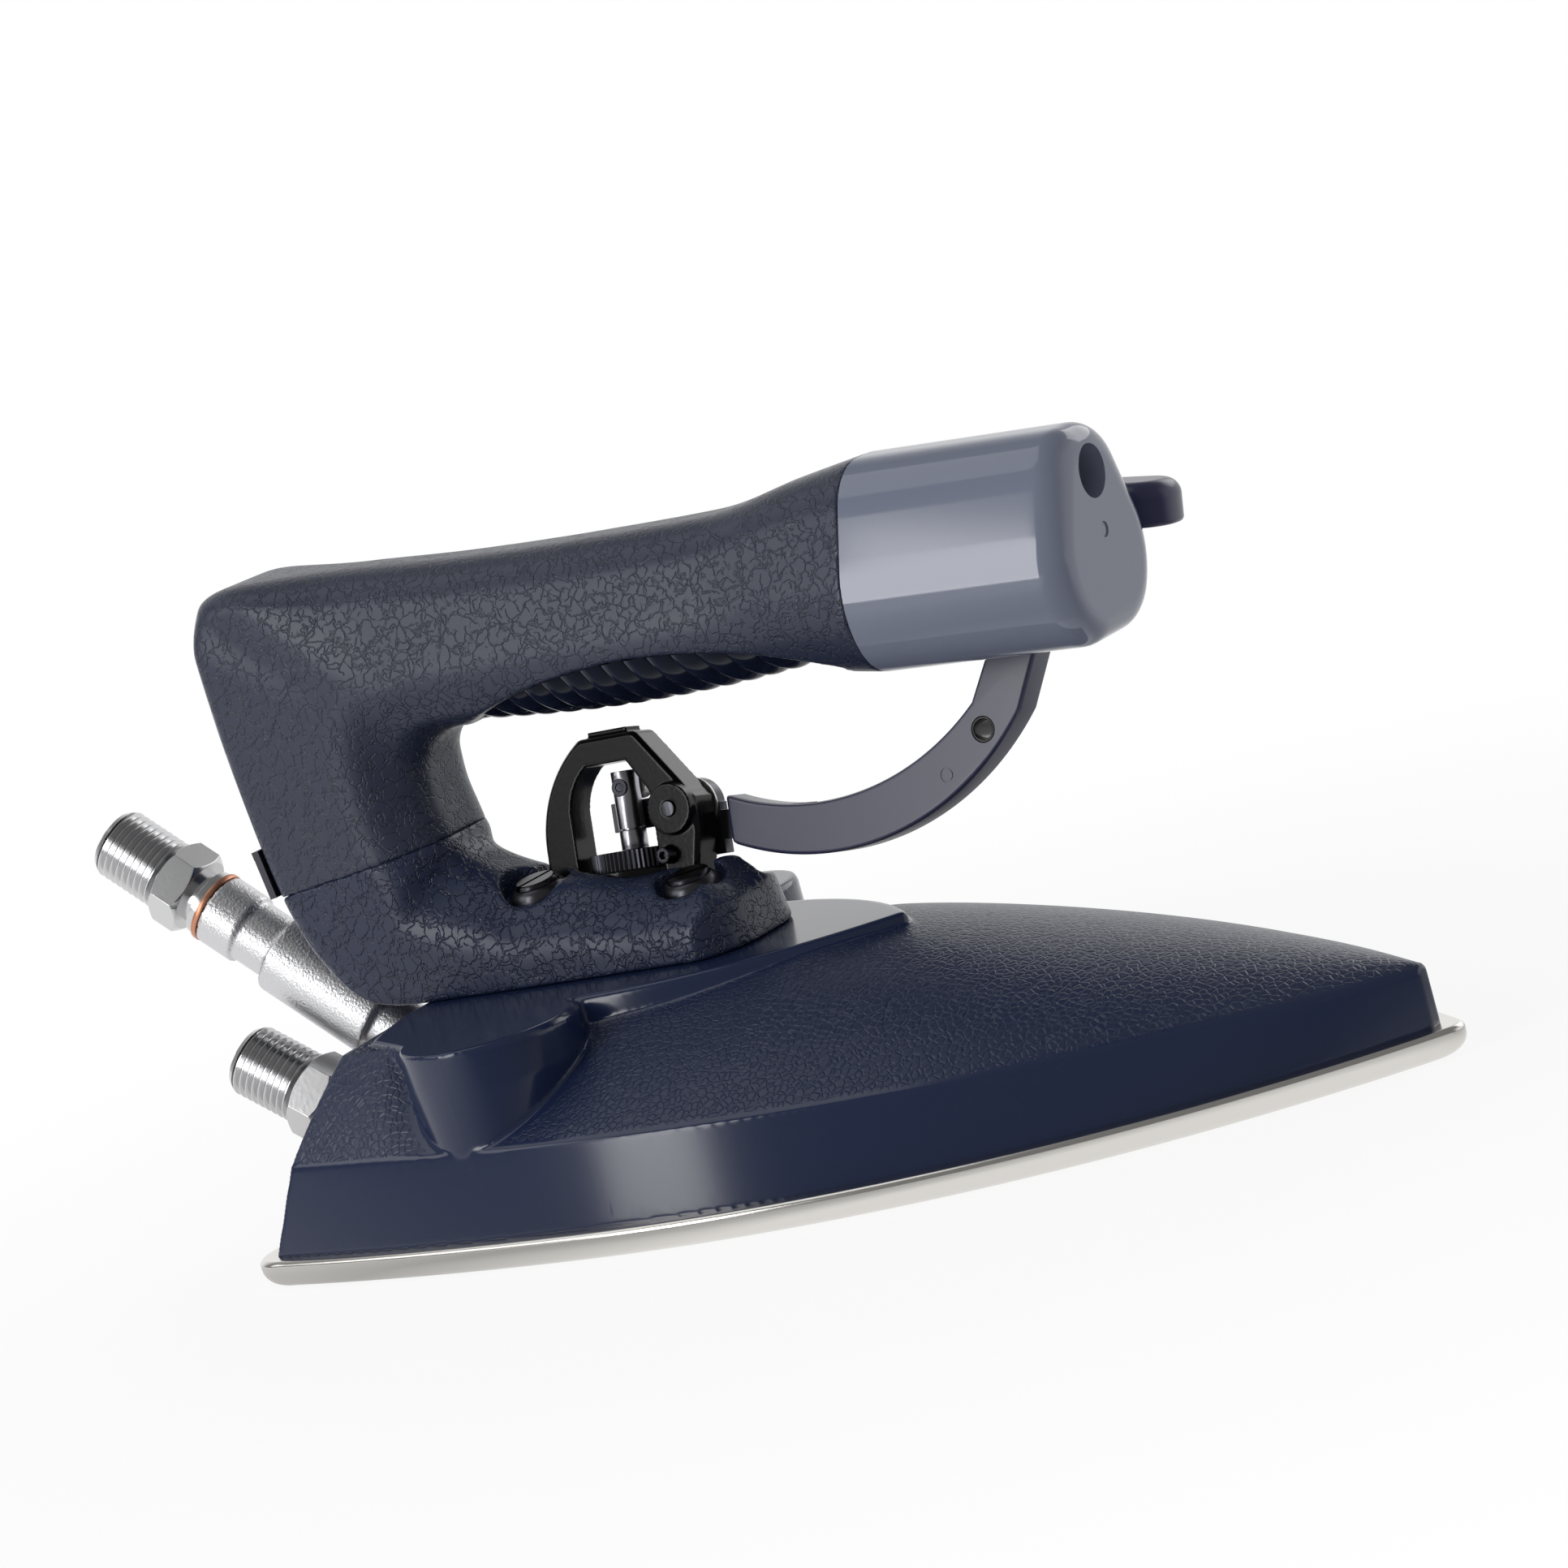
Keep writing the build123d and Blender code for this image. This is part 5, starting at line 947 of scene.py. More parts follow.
def node(tree, kind, settings=None, *values, **inputs):
    """Adds a node to a tree, with its settings and its inputs by place or by name, as values or links."""
    made = tree.nodes.new(kind if "Node" in kind else "ShaderNode" + kind)
    for name, value in (settings or {}).items():
        setattr(made, name, value)
    named = [(name.replace("_", " "), value) for name, value in inputs.items()]
    for key, value in list(enumerate(values)) + named:
        if isinstance(value, bpy.types.Node):
            value = value.outputs[0]
        if isinstance(value, bpy.types.NodeSocket):
            tree.links.new(value, made.inputs[key])
        else:
            made.inputs[key].default_value = value
    return made


# Threads, by Geometry Nodes: one ridge repeated along the axis


def repeat_tree(name):
    """Geometry Nodes tree that repeats the object's mesh along z and joins the copies."""
    tree = bpy.data.node_groups.new(name, "GeometryNodeTree")
    kinds = {"Geometry": "Geometry", "Turns": "Int", "Pitch": "Float", "Finish": "Material"}
    for socket, kind in kinds.items():
        tree.interface.new_socket(socket, in_out="INPUT", socket_type="NodeSocket" + kind)
    tree.interface.new_socket("Geometry", in_out="OUTPUT", socket_type="NodeSocketGeometry")
    given = tree.nodes.new("NodeGroupInput").outputs
    step = node(tree, "CombineXYZ", Z=given["Pitch"])
    line = node(tree, "GeometryNodeMeshLine", {"mode": "OFFSET"}, Count=given["Turns"], Offset=step)
    ridges = node(tree, "GeometryNodeInstanceOnPoints", Points=line, Instance=given["Geometry"])
    real = node(tree, "GeometryNodeRealizeInstances", None, ridges)
    shown = node(tree, "GeometryNodeSetMaterial", Geometry=real, Material=given["Finish"])
    node(tree, "NodeGroupOutput", None, shown)
    return tree


def repeated(obj, tree, turns, pitch, material):
    """Runs the repeat on a ridge and keeps the plain mesh."""
    change = obj.modifiers.new("repeat", "NODES")
    change.node_group = tree
    sockets = {item.name: item.identifier for item in tree.interface.items_tree if item.in_out == "INPUT"}
    change[sockets["Turns"]] = turns
    change[sockets["Pitch"]] = pitch * MM
    change[sockets["Finish"]] = material
    return bake(obj)


def ridge(z, root, crest, pitch):
    """One thread ridge as a closed ring."""
    inner, low, high = root - OVER / 2, z - pitch / 2, z + pitch / 2
    flat = pitch * THREAD_CREST_SHARE / 2
    return turned("ridge", [(inner, low), (root, low), (crest, z - flat), (crest, z + flat), (root, high),
                            (inner, high)], hollow=True)


def nipple_piece(name, material, tree, base):
    """Hexagon nipple with its hose thread."""
    z = -COPPER_THICK
    neck_low = z - NECK_LENGTH
    hex_low = neck_low - HEX_LENGTH
    end = hex_low - THREAD_LENGTH
    body = turned(name, [(NIPPLE_BORE, TAIL_LENGTH), (TAIL_RADIUS, TAIL_LENGTH), (TAIL_RADIUS, z),
                         (NECK_FLANGE_RADIUS, z), (NECK_FLANGE_RADIUS, z - NECK_FLANGE),
                         (NECK_RADIUS, z - NECK_FLANGE), (NECK_RADIUS, neck_low), (NECK_RADIUS, hex_low),
                         (THREAD_ROOT, hex_low), (THREAD_ROOT, end), (NIPPLE_BORE, end)], hollow=True)
    bevelled(body, BEVEL / 2)
    corner = HEX_FLATS / 2 / math.cos(math.pi / HEX_SIDES)
    nut = rod(corner, hex_low, neck_low, steps=HEX_SIDES)
    face = (HEX_FLATS - HEX_CHAMFER / 2) / 2
    shape = turned("shape", [(face, hex_low - FIT_GAP), (corner, hex_low + HEX_CHAMFER),
                             (corner, neck_low - HEX_CHAMFER), (face, neck_low + FIT_GAP)])
    cut(nut, shape, how="INTERSECT")
    bevelled(cut(nut, rod(NIPPLE_BORE + OVER, hex_low - OVER, neck_low + OVER)), BEVEL / 3)
    first = end + THREAD_CHAMFER + THREAD_PITCH / 2
    turns = int((hex_low - first - THREAD_PITCH / 2) / THREAD_PITCH) + 1
    thread = repeated(ridge(first, THREAD_ROOT, THREAD_RADIUS, THREAD_PITCH), tree, turns, THREAD_PITCH,
                      material)
    start = end + THREAD_CHAMFER
    lead = turned("lead", [(NIPPLE_BORE + OVER, end), (THREAD_RADIUS - THREAD_CHAMFER, end),
                           (THREAD_RADIUS - THREAD_CHAMFER / 3, start), (NIPPLE_BORE + OVER, start)],
                  hollow=True)
    return place(joined(body, nut, thread, lead), base)


# Valve


def across_at(u, h):
    """Frame of a part that lies across the valve."""
    return Matrix.Translation((u, 0, h)) @ ACROSS


def valve_pieces(tree, material):
    """Bonnet, ring nut, stem, sleeve and the two set screws, by name."""
    bore = STEM_RADIUS + FIT_GAP
    at_roller = across_at(0, ROLLER_H)
    bonnet = turned("bonnet", [(bore, BONNET_LOW_H), (BONNET_RADIUS, BONNET_LOW_H),
                               (BONNET_RADIUS, BONNET_TOP_H), (bore, BONNET_TOP_H), (bore, PACKING_TOP_H),
                               (PACKING_RADIUS, PACKING_TOP_H), (PACKING_RADIUS, PACKING_LOW_H),
                               (bore, PACKING_LOW_H)], hollow=True)
    teeth = []
    for i in range(2 * RING_TEETH):
        radius = RING_RADIUS - (RING_TOOTH if i % 2 else 0)
        angle = math.pi * i / RING_TEETH
        teeth.append((radius * math.cos(angle), radius * math.sin(angle)))
    ring = plate("ring_nut", teeth, RING_LOW_H, RING_TOP_H)
    cut(ring, rod(BONNET_RADIUS + FIT_GAP, RING_LOW_H - OVER, RING_TOP_H + OVER))
    stem = turned("stem", [(STEM_RADIUS, STEM_LOW_H), (STEM_RADIUS, COLLAR_LOW_H),
                           (COLLAR_RADIUS, COLLAR_LOW_H), (COLLAR_RADIUS, COLLAR_TOP_H),
                           (STEM_RADIUS, COLLAR_TOP_H), (STEM_RADIUS, STEM_TOP_H)])
    sleeve = turned("sleeve", [(bore, SLEEVE_LOW_H), (SLEEVE_RADIUS, SLEEVE_LOW_H),
                               (SLEEVE_RADIUS, SLEEVE_TOP_H), (FIT_GAP, SLEEVE_TOP_H),
                               (FIT_GAP, STEM_TOP_H + FIT_GAP), (bore, STEM_TOP_H + FIT_GAP)], hollow=True)
    cut(sleeve, rod(SOCKET_SCREW_RADIUS + FIT_GAP, -SLEEVE_RADIUS - OVER, -STEM_RADIUS, at_roller))
    set_screw = rod(SOCKET_SCREW_RADIUS, -SLEEVE_RADIUS, -bore)
    socket_end = SOCKET_DEPTH / 2 - SLEEVE_RADIUS
    cut(set_screw, rod(SOCKET_RADIUS, -SLEEVE_RADIUS - OVER, socket_end, steps=HEX_SIDES))
    place(set_screw, at_roller)
    root = YOKE_SCREW_RADIUS - SCREW_THREAD
    lock = rod(root, YOKE_SCREW_NEAR_V, YOKE_SCREW_FAR_V - FIT_GAP)
    cut(lock, rod(SOCKET_RADIUS, YOKE_SCREW_NEAR_V - OVER, YOKE_SCREW_NEAR_V + OVER, steps=HEX_SIDES))
    low = YOKE_SCREW_NEAR_V
    first, high = low + SCREW_PITCH / 2, low + SCREW_PITCH
    inner = SOCKET_RADIUS + FIT_GAP * 3
    thread = turned("ridge", [(inner, low), (root, low), (YOKE_SCREW_RADIUS, first), (root, high),
                              (inner, high)], hollow=True, steps=FINE_STEPS)
    turns = int((YOKE_SCREW_FAR_V - first) / SCREW_PITCH)
    joined(lock, repeated(thread, tree, turns, SCREW_PITCH, material))
    place(lock, across_at(YOKE_SCREW_U, YOKE_SCREW_H))
    made = {"bonnet": bonnet, "ring_nut": ring, "stem": stem, "sleeve": sleeve, "set_screw": set_screw,
            "lock_screw": lock}
    for name, obj in made.items():
        if name != "lock_screw":
            bevelled(obj, BEVEL / 2)
        place(obj, VALVE)
        obj.name = name
    return made


# Lever


def lever_shape():
    """Moulded arm with its thumb rest."""
    inner = arc((LEVER_START_U, LEVER_START_TOP_H), (LEVER_LOW_U, LEVER_LOW_H + LEVER_DEPTH),
                (LEVER_RISE_U - LEVER_DEPTH, LEVER_RISE_H + LEVER_RISE_LEAD))
    outer = arc((LEVER_START_U, LEVER_START_LOW_H), (LEVER_LOW_U, LEVER_LOW_H), (LEVER_RISE_U, LEVER_RISE_H))
    rest_mid_h = THUMB_TOP_H - THUMB_THICK / 2
    shank = [(LEVER_SHANK_U - LEVER_SHANK_DEPTH, LEVER_SHANK_H), (LEVER_RISE_U + LEVER_RELIEF, rest_mid_h),
             (LEVER_TOP_U, rest_mid_h), (LEVER_SHANK_U, LEVER_SHANK_H)]
    far = LEVER_NEAR_V + LEVER_THICK
    arm = slab("lever_arm_moulding", inner + shank + outer[::-1], LEVER_NEAR_V, far)
    bevelled(arm, LEVER_EDGE, BEVEL_STEPS, 2 * SHARP_ANGLE)
    relief = block("relief", (LEVER_RISE_U - LEVER_DEPTH, LEVER_NEAR_V - OVER, LEVER_RISE_H + LEVER_DEPTH),
                   (2 * LEVER_SHANK_U, LEVER_NEAR_V + LEVER_RELIEF, 2 * THUMB_TOP_H))
    hole = rod(LEVER_HOLE_RADIUS + INSERT_WALL + FIT_GAP, 0, far + OVER,
               across_at(LEVER_HOLE_U, LEVER_HOLE_H))
    floor_v = LEVER_NEAR_V + EJECTOR_DEPTH
    inside = EJECTOR_RADIUS - 2 * EJECTOR_DEPTH
    mark = turned("mark", [(EJECTOR_RADIUS, 0), (EJECTOR_RADIUS, floor_v), (inside, floor_v), (inside, 0)],
                  hollow=True)
    cut(arm, relief, hole, place(mark, across_at(EJECTOR_U, EJECTOR_H)))
    reach = THUMB_FRONT_U - THUMB_REAR_U
    corners = [(0, 0), (reach, 0), (reach, THUMB_WIDTH), (0, THUMB_WIDTH)]
    rings = []
    for low, edge, turns in ((True, LEVER_EDGE, quarter()), (False, THUMB_EDGE, quarter()[::-1])):
        for sine, cosine in turns:
            inset = edge * (1 - sine)
            rise = edge * (1 - cosine)
            z = rise if low else THUMB_THICK - rise
            moved = [(x - inset if x else inset, y - inset if y else inset) for x, y in corners]
            rings.append([(x, y, z) for x, y in rounded(moved, [THUMB_CORNER - inset] * 4)])
    base = (Matrix.Translation((THUMB_REAR_U, LEVER_NEAR_V + LEVER_RELIEF, THUMB_TOP_H - THUMB_THICK))
            @ Matrix.Rotation(math.radians(THUMB_ROLL), 4, "X")
            @ Matrix.Rotation(math.radians(THUMB_LEAN), 4, "Y"))
    return place(joined(arm, place(skin("thumb_rest", rings), base)), VALVE)


# Finishes

SRGB_KNEE = 0.04045
SRGB_SLOPE = 12.92
SRGB_OFFSET = 0.055
SRGB_POWER = 2.4
MIX_COLOURS = (6, 7)      # places of the two colours in a mix node
MIX_COLOUR_RESULT = 2
GRAIN_DETAIL = 3.0
CRACK_CELL = 4.2
CRACK_WARP = 3.0
CRACK_BREAK = 1.6         # size of the gaps that break the lines off
# Size share of each net of lines, and the noise at which its lines start and end
CRACK_NETS = ((1.0, 0.37, 0.53), (0.6, 0.66, 0.5))
# Half width of a groove in its cell; the real ones are half as wide, too fine to show
CRACK_WIDTH_SHARE = 0.045
WRINKLE_SIZE = 1.1
WRINKLE_SHARE = 0.05
GRIP_GRAIN_DEPTH = 0.08
FOOT_GRAIN_DEPTH = 0.14
PEBBLE_CELL = 1.3
PEBBLE_GROOVE_SHARE = 0.2
PEBBLE_DEPTH = 0.1
BRUSH_SIZE = 0.35
BRUSH_DEPTH = 0.02
BRUSH_STRETCH = (0.04, 1.0, 1.0)
PAINT_SIZE = 0.75
PAINT_DEPTH = 0.05
SAND_SIZE = 0.5
SAND_DEPTH = 0.16
PLATING_DEPTH = 0.03
# Strengths of a relief
FAINT = 0.3
MEDIUM = 0.4
STRONG = 0.8
SMOOTH_REAR_SHARE = 0.62  # the grain ends where the skin turns this far to the rear
REAR_FADE = 8             # share of grain for each unit of the normal
COVER_FADE = 2            # share of grain for each millimetre


def colour(code):
    """Linear colour from a sRGB hex value."""
    parts = [int(code[i:i + 2], 16) / 255 for i in (1, 3, 5)]
    return tuple(part / SRGB_SLOPE if part <= SRGB_KNEE
                 else ((part + SRGB_OFFSET) / (1 + SRGB_OFFSET)) ** SRGB_POWER for part in parts) + (1.0,)


def finish(name, code, **sockets):
    """New material with its shader's own sockets set."""
    material = bpy.data.materials.new(name)
    material.use_nodes = True
    shader = material.node_tree.nodes["Principled BSDF"]
    shader.inputs["Base Color"].default_value = colour(code)
    for key, value in sockets.items():
        shader.inputs[key.replace("_", " ")].default_value = value
    return material


def place_nodes(material):
    """The material's tree, its shader and the place on the piece."""
    tree = material.node_tree
    return tree, tree.nodes["Principled BSDF"], tree.nodes.new("ShaderNodeTexCoord").outputs["Object"]


def per_size(size):
    """Texture scale for a pattern of a real size in millimetres."""
    return 1 / (size * MM)


def cracks(tree, where, cell, width):
    """Lines along the borders of irregular cells: 0 in a groove, 1 between the grooves."""
    cells = node(tree, "TexVoronoi", {"feature": "DISTANCE_TO_EDGE"}, Vector=where, Scale=per_size(cell))
    return node(tree, "MapRange", {"interpolation_type": "SMOOTHSTEP"}, Value=cells, From_Max=width)


def grained(tree, value):
    """Height that is flat where the piece's grain attribute is 0, and that attribute."""
    grain = node(tree, "Attribute", {"attribute_name": "grain"}).outputs["Fac"]
    return node(tree, "Mix", Factor=grain, A=1.0, B=value), grain


def grain_relief(tree, shader, height, depth, strength, grain, smooth_rough):
    """Gives the shader a relief, and its own roughness only where the grain attribute is 1."""
    bump = node(tree, "Bump", Height=height, Distance=depth * MM, Strength=strength)
    tree.links.new(bump.outputs[0], shader.inputs["Normal"])
    rough = node(tree, "MapRange", Value=grain, To_Min=smooth_rough,
                 To_Max=shader.inputs["Roughness"].default_value)
    tree.links.new(rough.outputs[0], shader.inputs["Roughness"])


def leather_grain(material, depth, dark, smooth_rough):
    """Irregular cracks like leather, some broken off, with faint wrinkles between them, and painted shade
    darkening the grooves.
    """
    tree, shader, where = place_nodes(material)
    warp = node(tree, "TexNoise", Vector=where, Scale=per_size(CRACK_CELL / 2), Detail=GRAIN_DETAIL)
    centred = node(tree, "VectorMath", {"operation": "SUBTRACT"}, warp.outputs["Color"], (0.5, 0.5, 0.5))
    push = node(tree, "VectorMath", {"operation": "SCALE"}, centred, Scale=CRACK_WARP * MM)
    bent = node(tree, "VectorMath", {"operation": "ADD"}, where, push)
    breaks = node(tree, "TexNoise", Vector=where, Scale=per_size(CRACK_BREAK), Detail=1.0)
    lines = []
    for size_share, start, end in CRACK_NETS:
        net = cracks(tree, bent, CRACK_CELL * size_share, CRACK_WIDTH_SHARE / size_share)
        here = node(tree, "MapRange", Value=breaks, From_Min=start, From_Max=end)
        lines.append(node(tree, "Mix", Factor=here, A=1.0, B=net))
    both = node(tree, "Math", {"operation": "MULTIPLY"}, *lines)
    wrinkles = node(tree, "TexNoise", Vector=where, Scale=per_size(WRINKLE_SIZE), Detail=2.0)
    height = node(tree, "Math", {"operation": "MULTIPLY_ADD"}, wrinkles, WRINKLE_SHARE, both)
    faded, grain = grained(tree, height)
    grain_relief(tree, shader, faded, depth, 1.0, grain, smooth_rough)
    # Painted shade: the grooves take the darker colour, standing in for the shade that falls in them
    shade = node(tree, "Mix", {"data_type": "RGBA"}, grained(tree, both)[0])
    for place_in, value in zip(MIX_COLOURS, (colour(dark), shader.inputs["Base Color"].default_value)):
        shade.inputs[place_in].default_value = value
    tree.links.new(shade.outputs[MIX_COLOUR_RESULT], shader.inputs["Base Color"])


def fine_grain(material, size, depth, strength, stretch=(1.0, 1.0, 1.0)):
    """Even fine roughness, drawn out along an axis where stretch says so."""
    tree, shader, where = place_nodes(material)
    drawn = node(tree, "Mapping", Vector=where, Scale=stretch)
    noise = node(tree, "TexNoise", Vector=drawn, Scale=per_size(size), Detail=GRAIN_DETAIL)
    bump = node(tree, "Bump", Height=noise, Distance=depth * MM, Strength=strength)
    tree.links.new(bump.outputs[0], shader.inputs["Normal"])


def pebbled_flanks(material, smooth_rough):
    """Net of small grooves round flat pebbles where the grain attribute is 1, smooth where it is 0."""
    tree, shader, where = place_nodes(material)
    height, grain = grained(tree, cracks(tree, where, PEBBLE_CELL, PEBBLE_GROOVE_SHARE))
    grain_relief(tree, shader, height, PEBBLE_DEPTH, STRONG, grain, smooth_rough)


def mark_grain(obj, share_at):
    """Writes the grain attribute of a piece, from the place and the normal of each point."""
    mesh = obj.data
    values = [float(min(1.0, max(0.0, share_at(vertex.co / MM, vertex.normal)))) for vertex in mesh.vertices]
    mesh.attributes.new("grain", "FLOAT", "POINT").data.foreach_set("value", values)


def cover_grain(spot, normal):
    """1 on the cover's flanks and rear, 0 on the band, the pad and the lobes."""
    off_lobe = math.hypot(spot.x - LOBE_X, abs(spot.y) - LOBE_Y) - LOBE_RADIUS
    bend = arc_radius(PAD_NOSE_X - PAD_WIDEST_X, PAD_HALF)
    reach = max(0.0, bend ** 2 - (max(spot.x, PAD_WIDEST_X) - PAD_WIDEST_X) ** 2)
    off_pad = abs(spot.y) - (PAD_HALF - bend + math.sqrt(reach)) if spot.x > LOBE_X else 2 * OVER
    return COVER_FADE * min(spot.z - crease_z(spot.x) - OVER / 2, off_lobe - OVER, off_pad - OVER,
                            PAD_Z - OVER / 3 - spot.z)


def handle_grain(spot, normal):
    """1 on the handle, 0 on its smooth rear."""
    return 1.0 if spot.x > STEM_X else (SMOOTH_REAR_SHARE + normal.x) * REAR_FADE


# Polished cast aluminium: bright, with the faint lines of the last polishing belt
polished_aluminium = finish("polished_aluminium", "#dedbd6", Metallic=1.0, Roughness=0.2)
fine_grain(polished_aluminium, BRUSH_SIZE, BRUSH_DEPTH, FAINT, BRUSH_STRETCH)
# Glass-filled nylon, moulded in navy: satin on its pebbled flanks, glossy on the band and the pad
moulded_nylon = finish("navy_moulded_nylon", "#1c2745", Roughness=0.34, IOR=1.53)
pebbled_flanks(moulded_nylon, smooth_rough=0.17)
# Phenolic moulding with a leather grain: satin slate navy on the grip, bluer on the foot; the second colour
# is painted shade in the grooves of the grain
grip_phenolic = finish("slate_grained_phenolic", "#2a3145", Roughness=0.34, IOR=1.5)
leather_grain(grip_phenolic, GRIP_GRAIN_DEPTH, "#1f2537", smooth_rough=0.2)
foot_phenolic = finish("navy_grained_phenolic", "#1f2944", Roughness=0.33, IOR=1.5)
leather_grain(foot_phenolic, FOOT_GRAIN_DEPTH, "#182038", smooth_rough=0.2)
# Polished ABS of the cap: smooth, with crisp reflections of lamps and table
cap_abs = finish("slate_polished_abs", "#767c8e", Roughness=0.08, IOR=1.54)
# Glossy nylon of the finger rest
rest_nylon = finish("dark_glossy_nylon", "#131a2c", Roughness=0.12, IOR=1.53)
# Satin nylon of the lever: dark navy that a lamp turns plum
lever_nylon = finish("plum_satin_nylon", "#2a2b4c", Roughness=0.27, IOR=1.53)
# Baked black enamel on the cast yoke and the eyelet: deep black with clear highlights
black_enamel = finish("black_baked_enamel", "#08080a", Roughness=0.2, IOR=1.33)
fine_grain(black_enamel, PAINT_SIZE, PAINT_DEPTH, MEDIUM)
# Zinc casting, left as cast and tumbled: bright metal with a sand skin that glitters
cast_zinc = finish("rough_cast_zinc", "#d6d6d8", Metallic=1.0, Roughness=0.36)
fine_grain(cast_zinc, SAND_SIZE, SAND_DEPTH, STRONG)
# Zinc plated steel: bright grey metal with clear reflections
plated_steel = finish("zinc_plated_steel", "#cfcfd0", Metallic=1.0, Roughness=0.2)
fine_grain(plated_steel, PAINT_SIZE, PLATING_DEPTH, FAINT)
# Copper, flat stamped
copper = finish("stamped_copper", "#c98f73", Metallic=1.0, Roughness=0.35)
# Gunmetal finish on turned steel: grey and shiny
gunmetal = finish("gunmetal_turned_steel", "#a3a2a8", Metallic=1.0, Roughness=0.26)
# Blackened turned steel of the ring nut, the slotted screws and the socket screws
dark_steel = finish("blackened_turned_steel", "#3a3a40", Metallic=1.0, Roughness=0.28)
# Bright turned steel of the roller, the spring and the pivot's washer
bright_steel = finish("bright_turned_steel", "#c4c2c0", Metallic=1.0, Roughness=0.34)
# Black oxide on the cup washers, the clip and its screw, the rivet and the lever's plate
black_oxide = finish("black_oxide_steel", "#4c4c52", Metallic=0.9, Roughness=0.3)

# Pieces

sole = sole_plate()
finished(sole, polished_aluminium, "iron", ["soleplate"])

cover = moulded(cover_shell(), *COVER_SKIN)
mark_grain(cover, cover_grain)
finished(cover, moulded_nylon, "iron", ["base_cover"], sharp=0)

foot = moulded(foot_block(), *FOOT_SKIN)
mark_grain(foot, handle_grain)
finished(foot, foot_phenolic, "iron", ["handle_foot"], sharp=0)

grip = moulded(grip_column(), *GRIP_SKIN)
mark_grain(grip, handle_grain)
finished(grip, grip_phenolic, "iron", ["handle_grip"], sharp=0)

cap = cap_shell()
finished(cap, cap_abs, "iron", ["handle_cap"])

rest = rest_ribs()
finished(rest, rest_nylon, "iron", ["finger_rest"], sharp=RIB_SHARP_ANGLE)

screws, washers = foot_screw_pieces()
screws.name = "foot_screw_heads"
washers.name = "cup_washers"
finished(screws, dark_steel, "iron", ["foot_screws"])
finished(washers, black_oxide, "iron", ["foot_cup_washers"])

clip = from_solid("hose_clip", "back_clip")
beyond = block("beyond", (-HANDLE_HALF, -HANDLE_HALF, CLIP_THICK + FIT_GAP), (HANDLE_HALF,) * 3)
bevelled(cut(clip, place(beyond, clip_frame())))
finished(clip, black_oxide, "iron", ["back_clip"])
finished(clip_screw_piece(), black_oxide, "iron", ["clip_screw"])

casting = moulded(from_solid("casting", "valve_casting"), *CASTING_SKIN)
finished(casting, cast_zinc, "iron", ["valve_casting"], sharp=0)

thread_tree = repeat_tree("thread_ridges")
for name, base in (("inlet", INLET), ("outlet", OUTLET)):
    fitting = nipple_piece(name + "_fitting", plated_steel, thread_tree, base)
    finished(fitting, plated_steel, "iron", [name + "_nipple"])
for name, base in (("inlet_washer", INLET), ("outlet_washer", OUTLET)):
    washer = turned(name + "_ring", [(TAIL_RADIUS + FIT_GAP, -COPPER_THICK), (COPPER_RADIUS, -COPPER_THICK),
                                     (COPPER_RADIUS, 0), (TAIL_RADIUS + FIT_GAP, 0)], hollow=True)
    place(bevelled(washer), base)
    finished(washer, copper, "iron", [name])

valve = valve_pieces(thread_tree, bright_steel)
finished(valve["bonnet"], gunmetal, "iron", ["valve_bonnet"])
finished(valve["ring_nut"], dark_steel, "iron", ["bonnet_ring"])
finished(valve["stem"], gunmetal, "stem", ["valve_stem"])
finished(valve["sleeve"], gunmetal, "stem", ["stem_sleeve"])
finished(valve["set_screw"], dark_steel, "stem", ["stem_set_screw"])
finished(valve["lock_screw"], dark_steel, "iron", ["yoke_screw"])

spring = from_solid("return_spring", "stem_spring")
finished(spring, bright_steel, "iron", ["stem_spring"])
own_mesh(spring)

yoke = moulded(from_solid("yoke_casting", "yoke"), *YOKE_SKIN)
finished(yoke, black_enamel, "iron", ["yoke"], sharp=0)

for node_name, material, slot, body in (
        ("pivot_pin", black_oxide, "bright_steel", "iron"),
        ("pivot_washer", bright_steel, "bright_steel", "iron"),
        ("stem_roller", bright_steel, "bright_steel", "stem"),
        ("lever_plate", black_oxide, "black_steel", "lever"),
        ("lever_insert", black_enamel, "bright_steel", "lever")):
    small = bevelled(from_solid(node_name + "_shown", node_name), BEVEL / 2)
    finished(small, material, body, [node_name])

finished(lever_shape(), lever_nylon, "lever", ["lever_arm"])

# Floor, lamps and camera

# White table round the iron, dim beyond its front edge in gloss; white all over to the camera
FLOOR_SIDE = 6000.0
TABLE_NEAR = 57.0
TABLE_FAR = 190.0
TABLE_RIGHT_X = 20.0
TABLE_LEFT_X = -170.0
TABLE_DIM = 0.14
TABLE_POWER = 7.0
BACK_FADE = 160.0
SHADOW_NEAR = 120.0
SHADOW_FAR = 300.0
SHADOW_SHARE = 0.12
MAXIMUM = {"operation": "MAXIMUM"}
MULTIPLY = {"operation": "MULTIPLY"}
floor = piece("floor", [(FLOOR_SIDE * x, FLOOR_SIDE * y, 0) for x, y in ((-1, -1), (1, -1), (1, 1), (-1, 1))],
              [(0, 1, 2, 3)])
paper = finish("white_paper", "#f4f4f4", Roughness=0.9)
floor.data.materials.append(paper)


def seen_share(tree):
    """1 for rays from the camera, and 1 for rays off gloss or through glass."""
    path = tree.nodes.new("ShaderNodeLightPath").outputs
    gloss = node(tree, "Math", MAXIMUM, path["Is Glossy Ray"], path["Is Transmission Ray"])
    return path["Is Camera Ray"], gloss


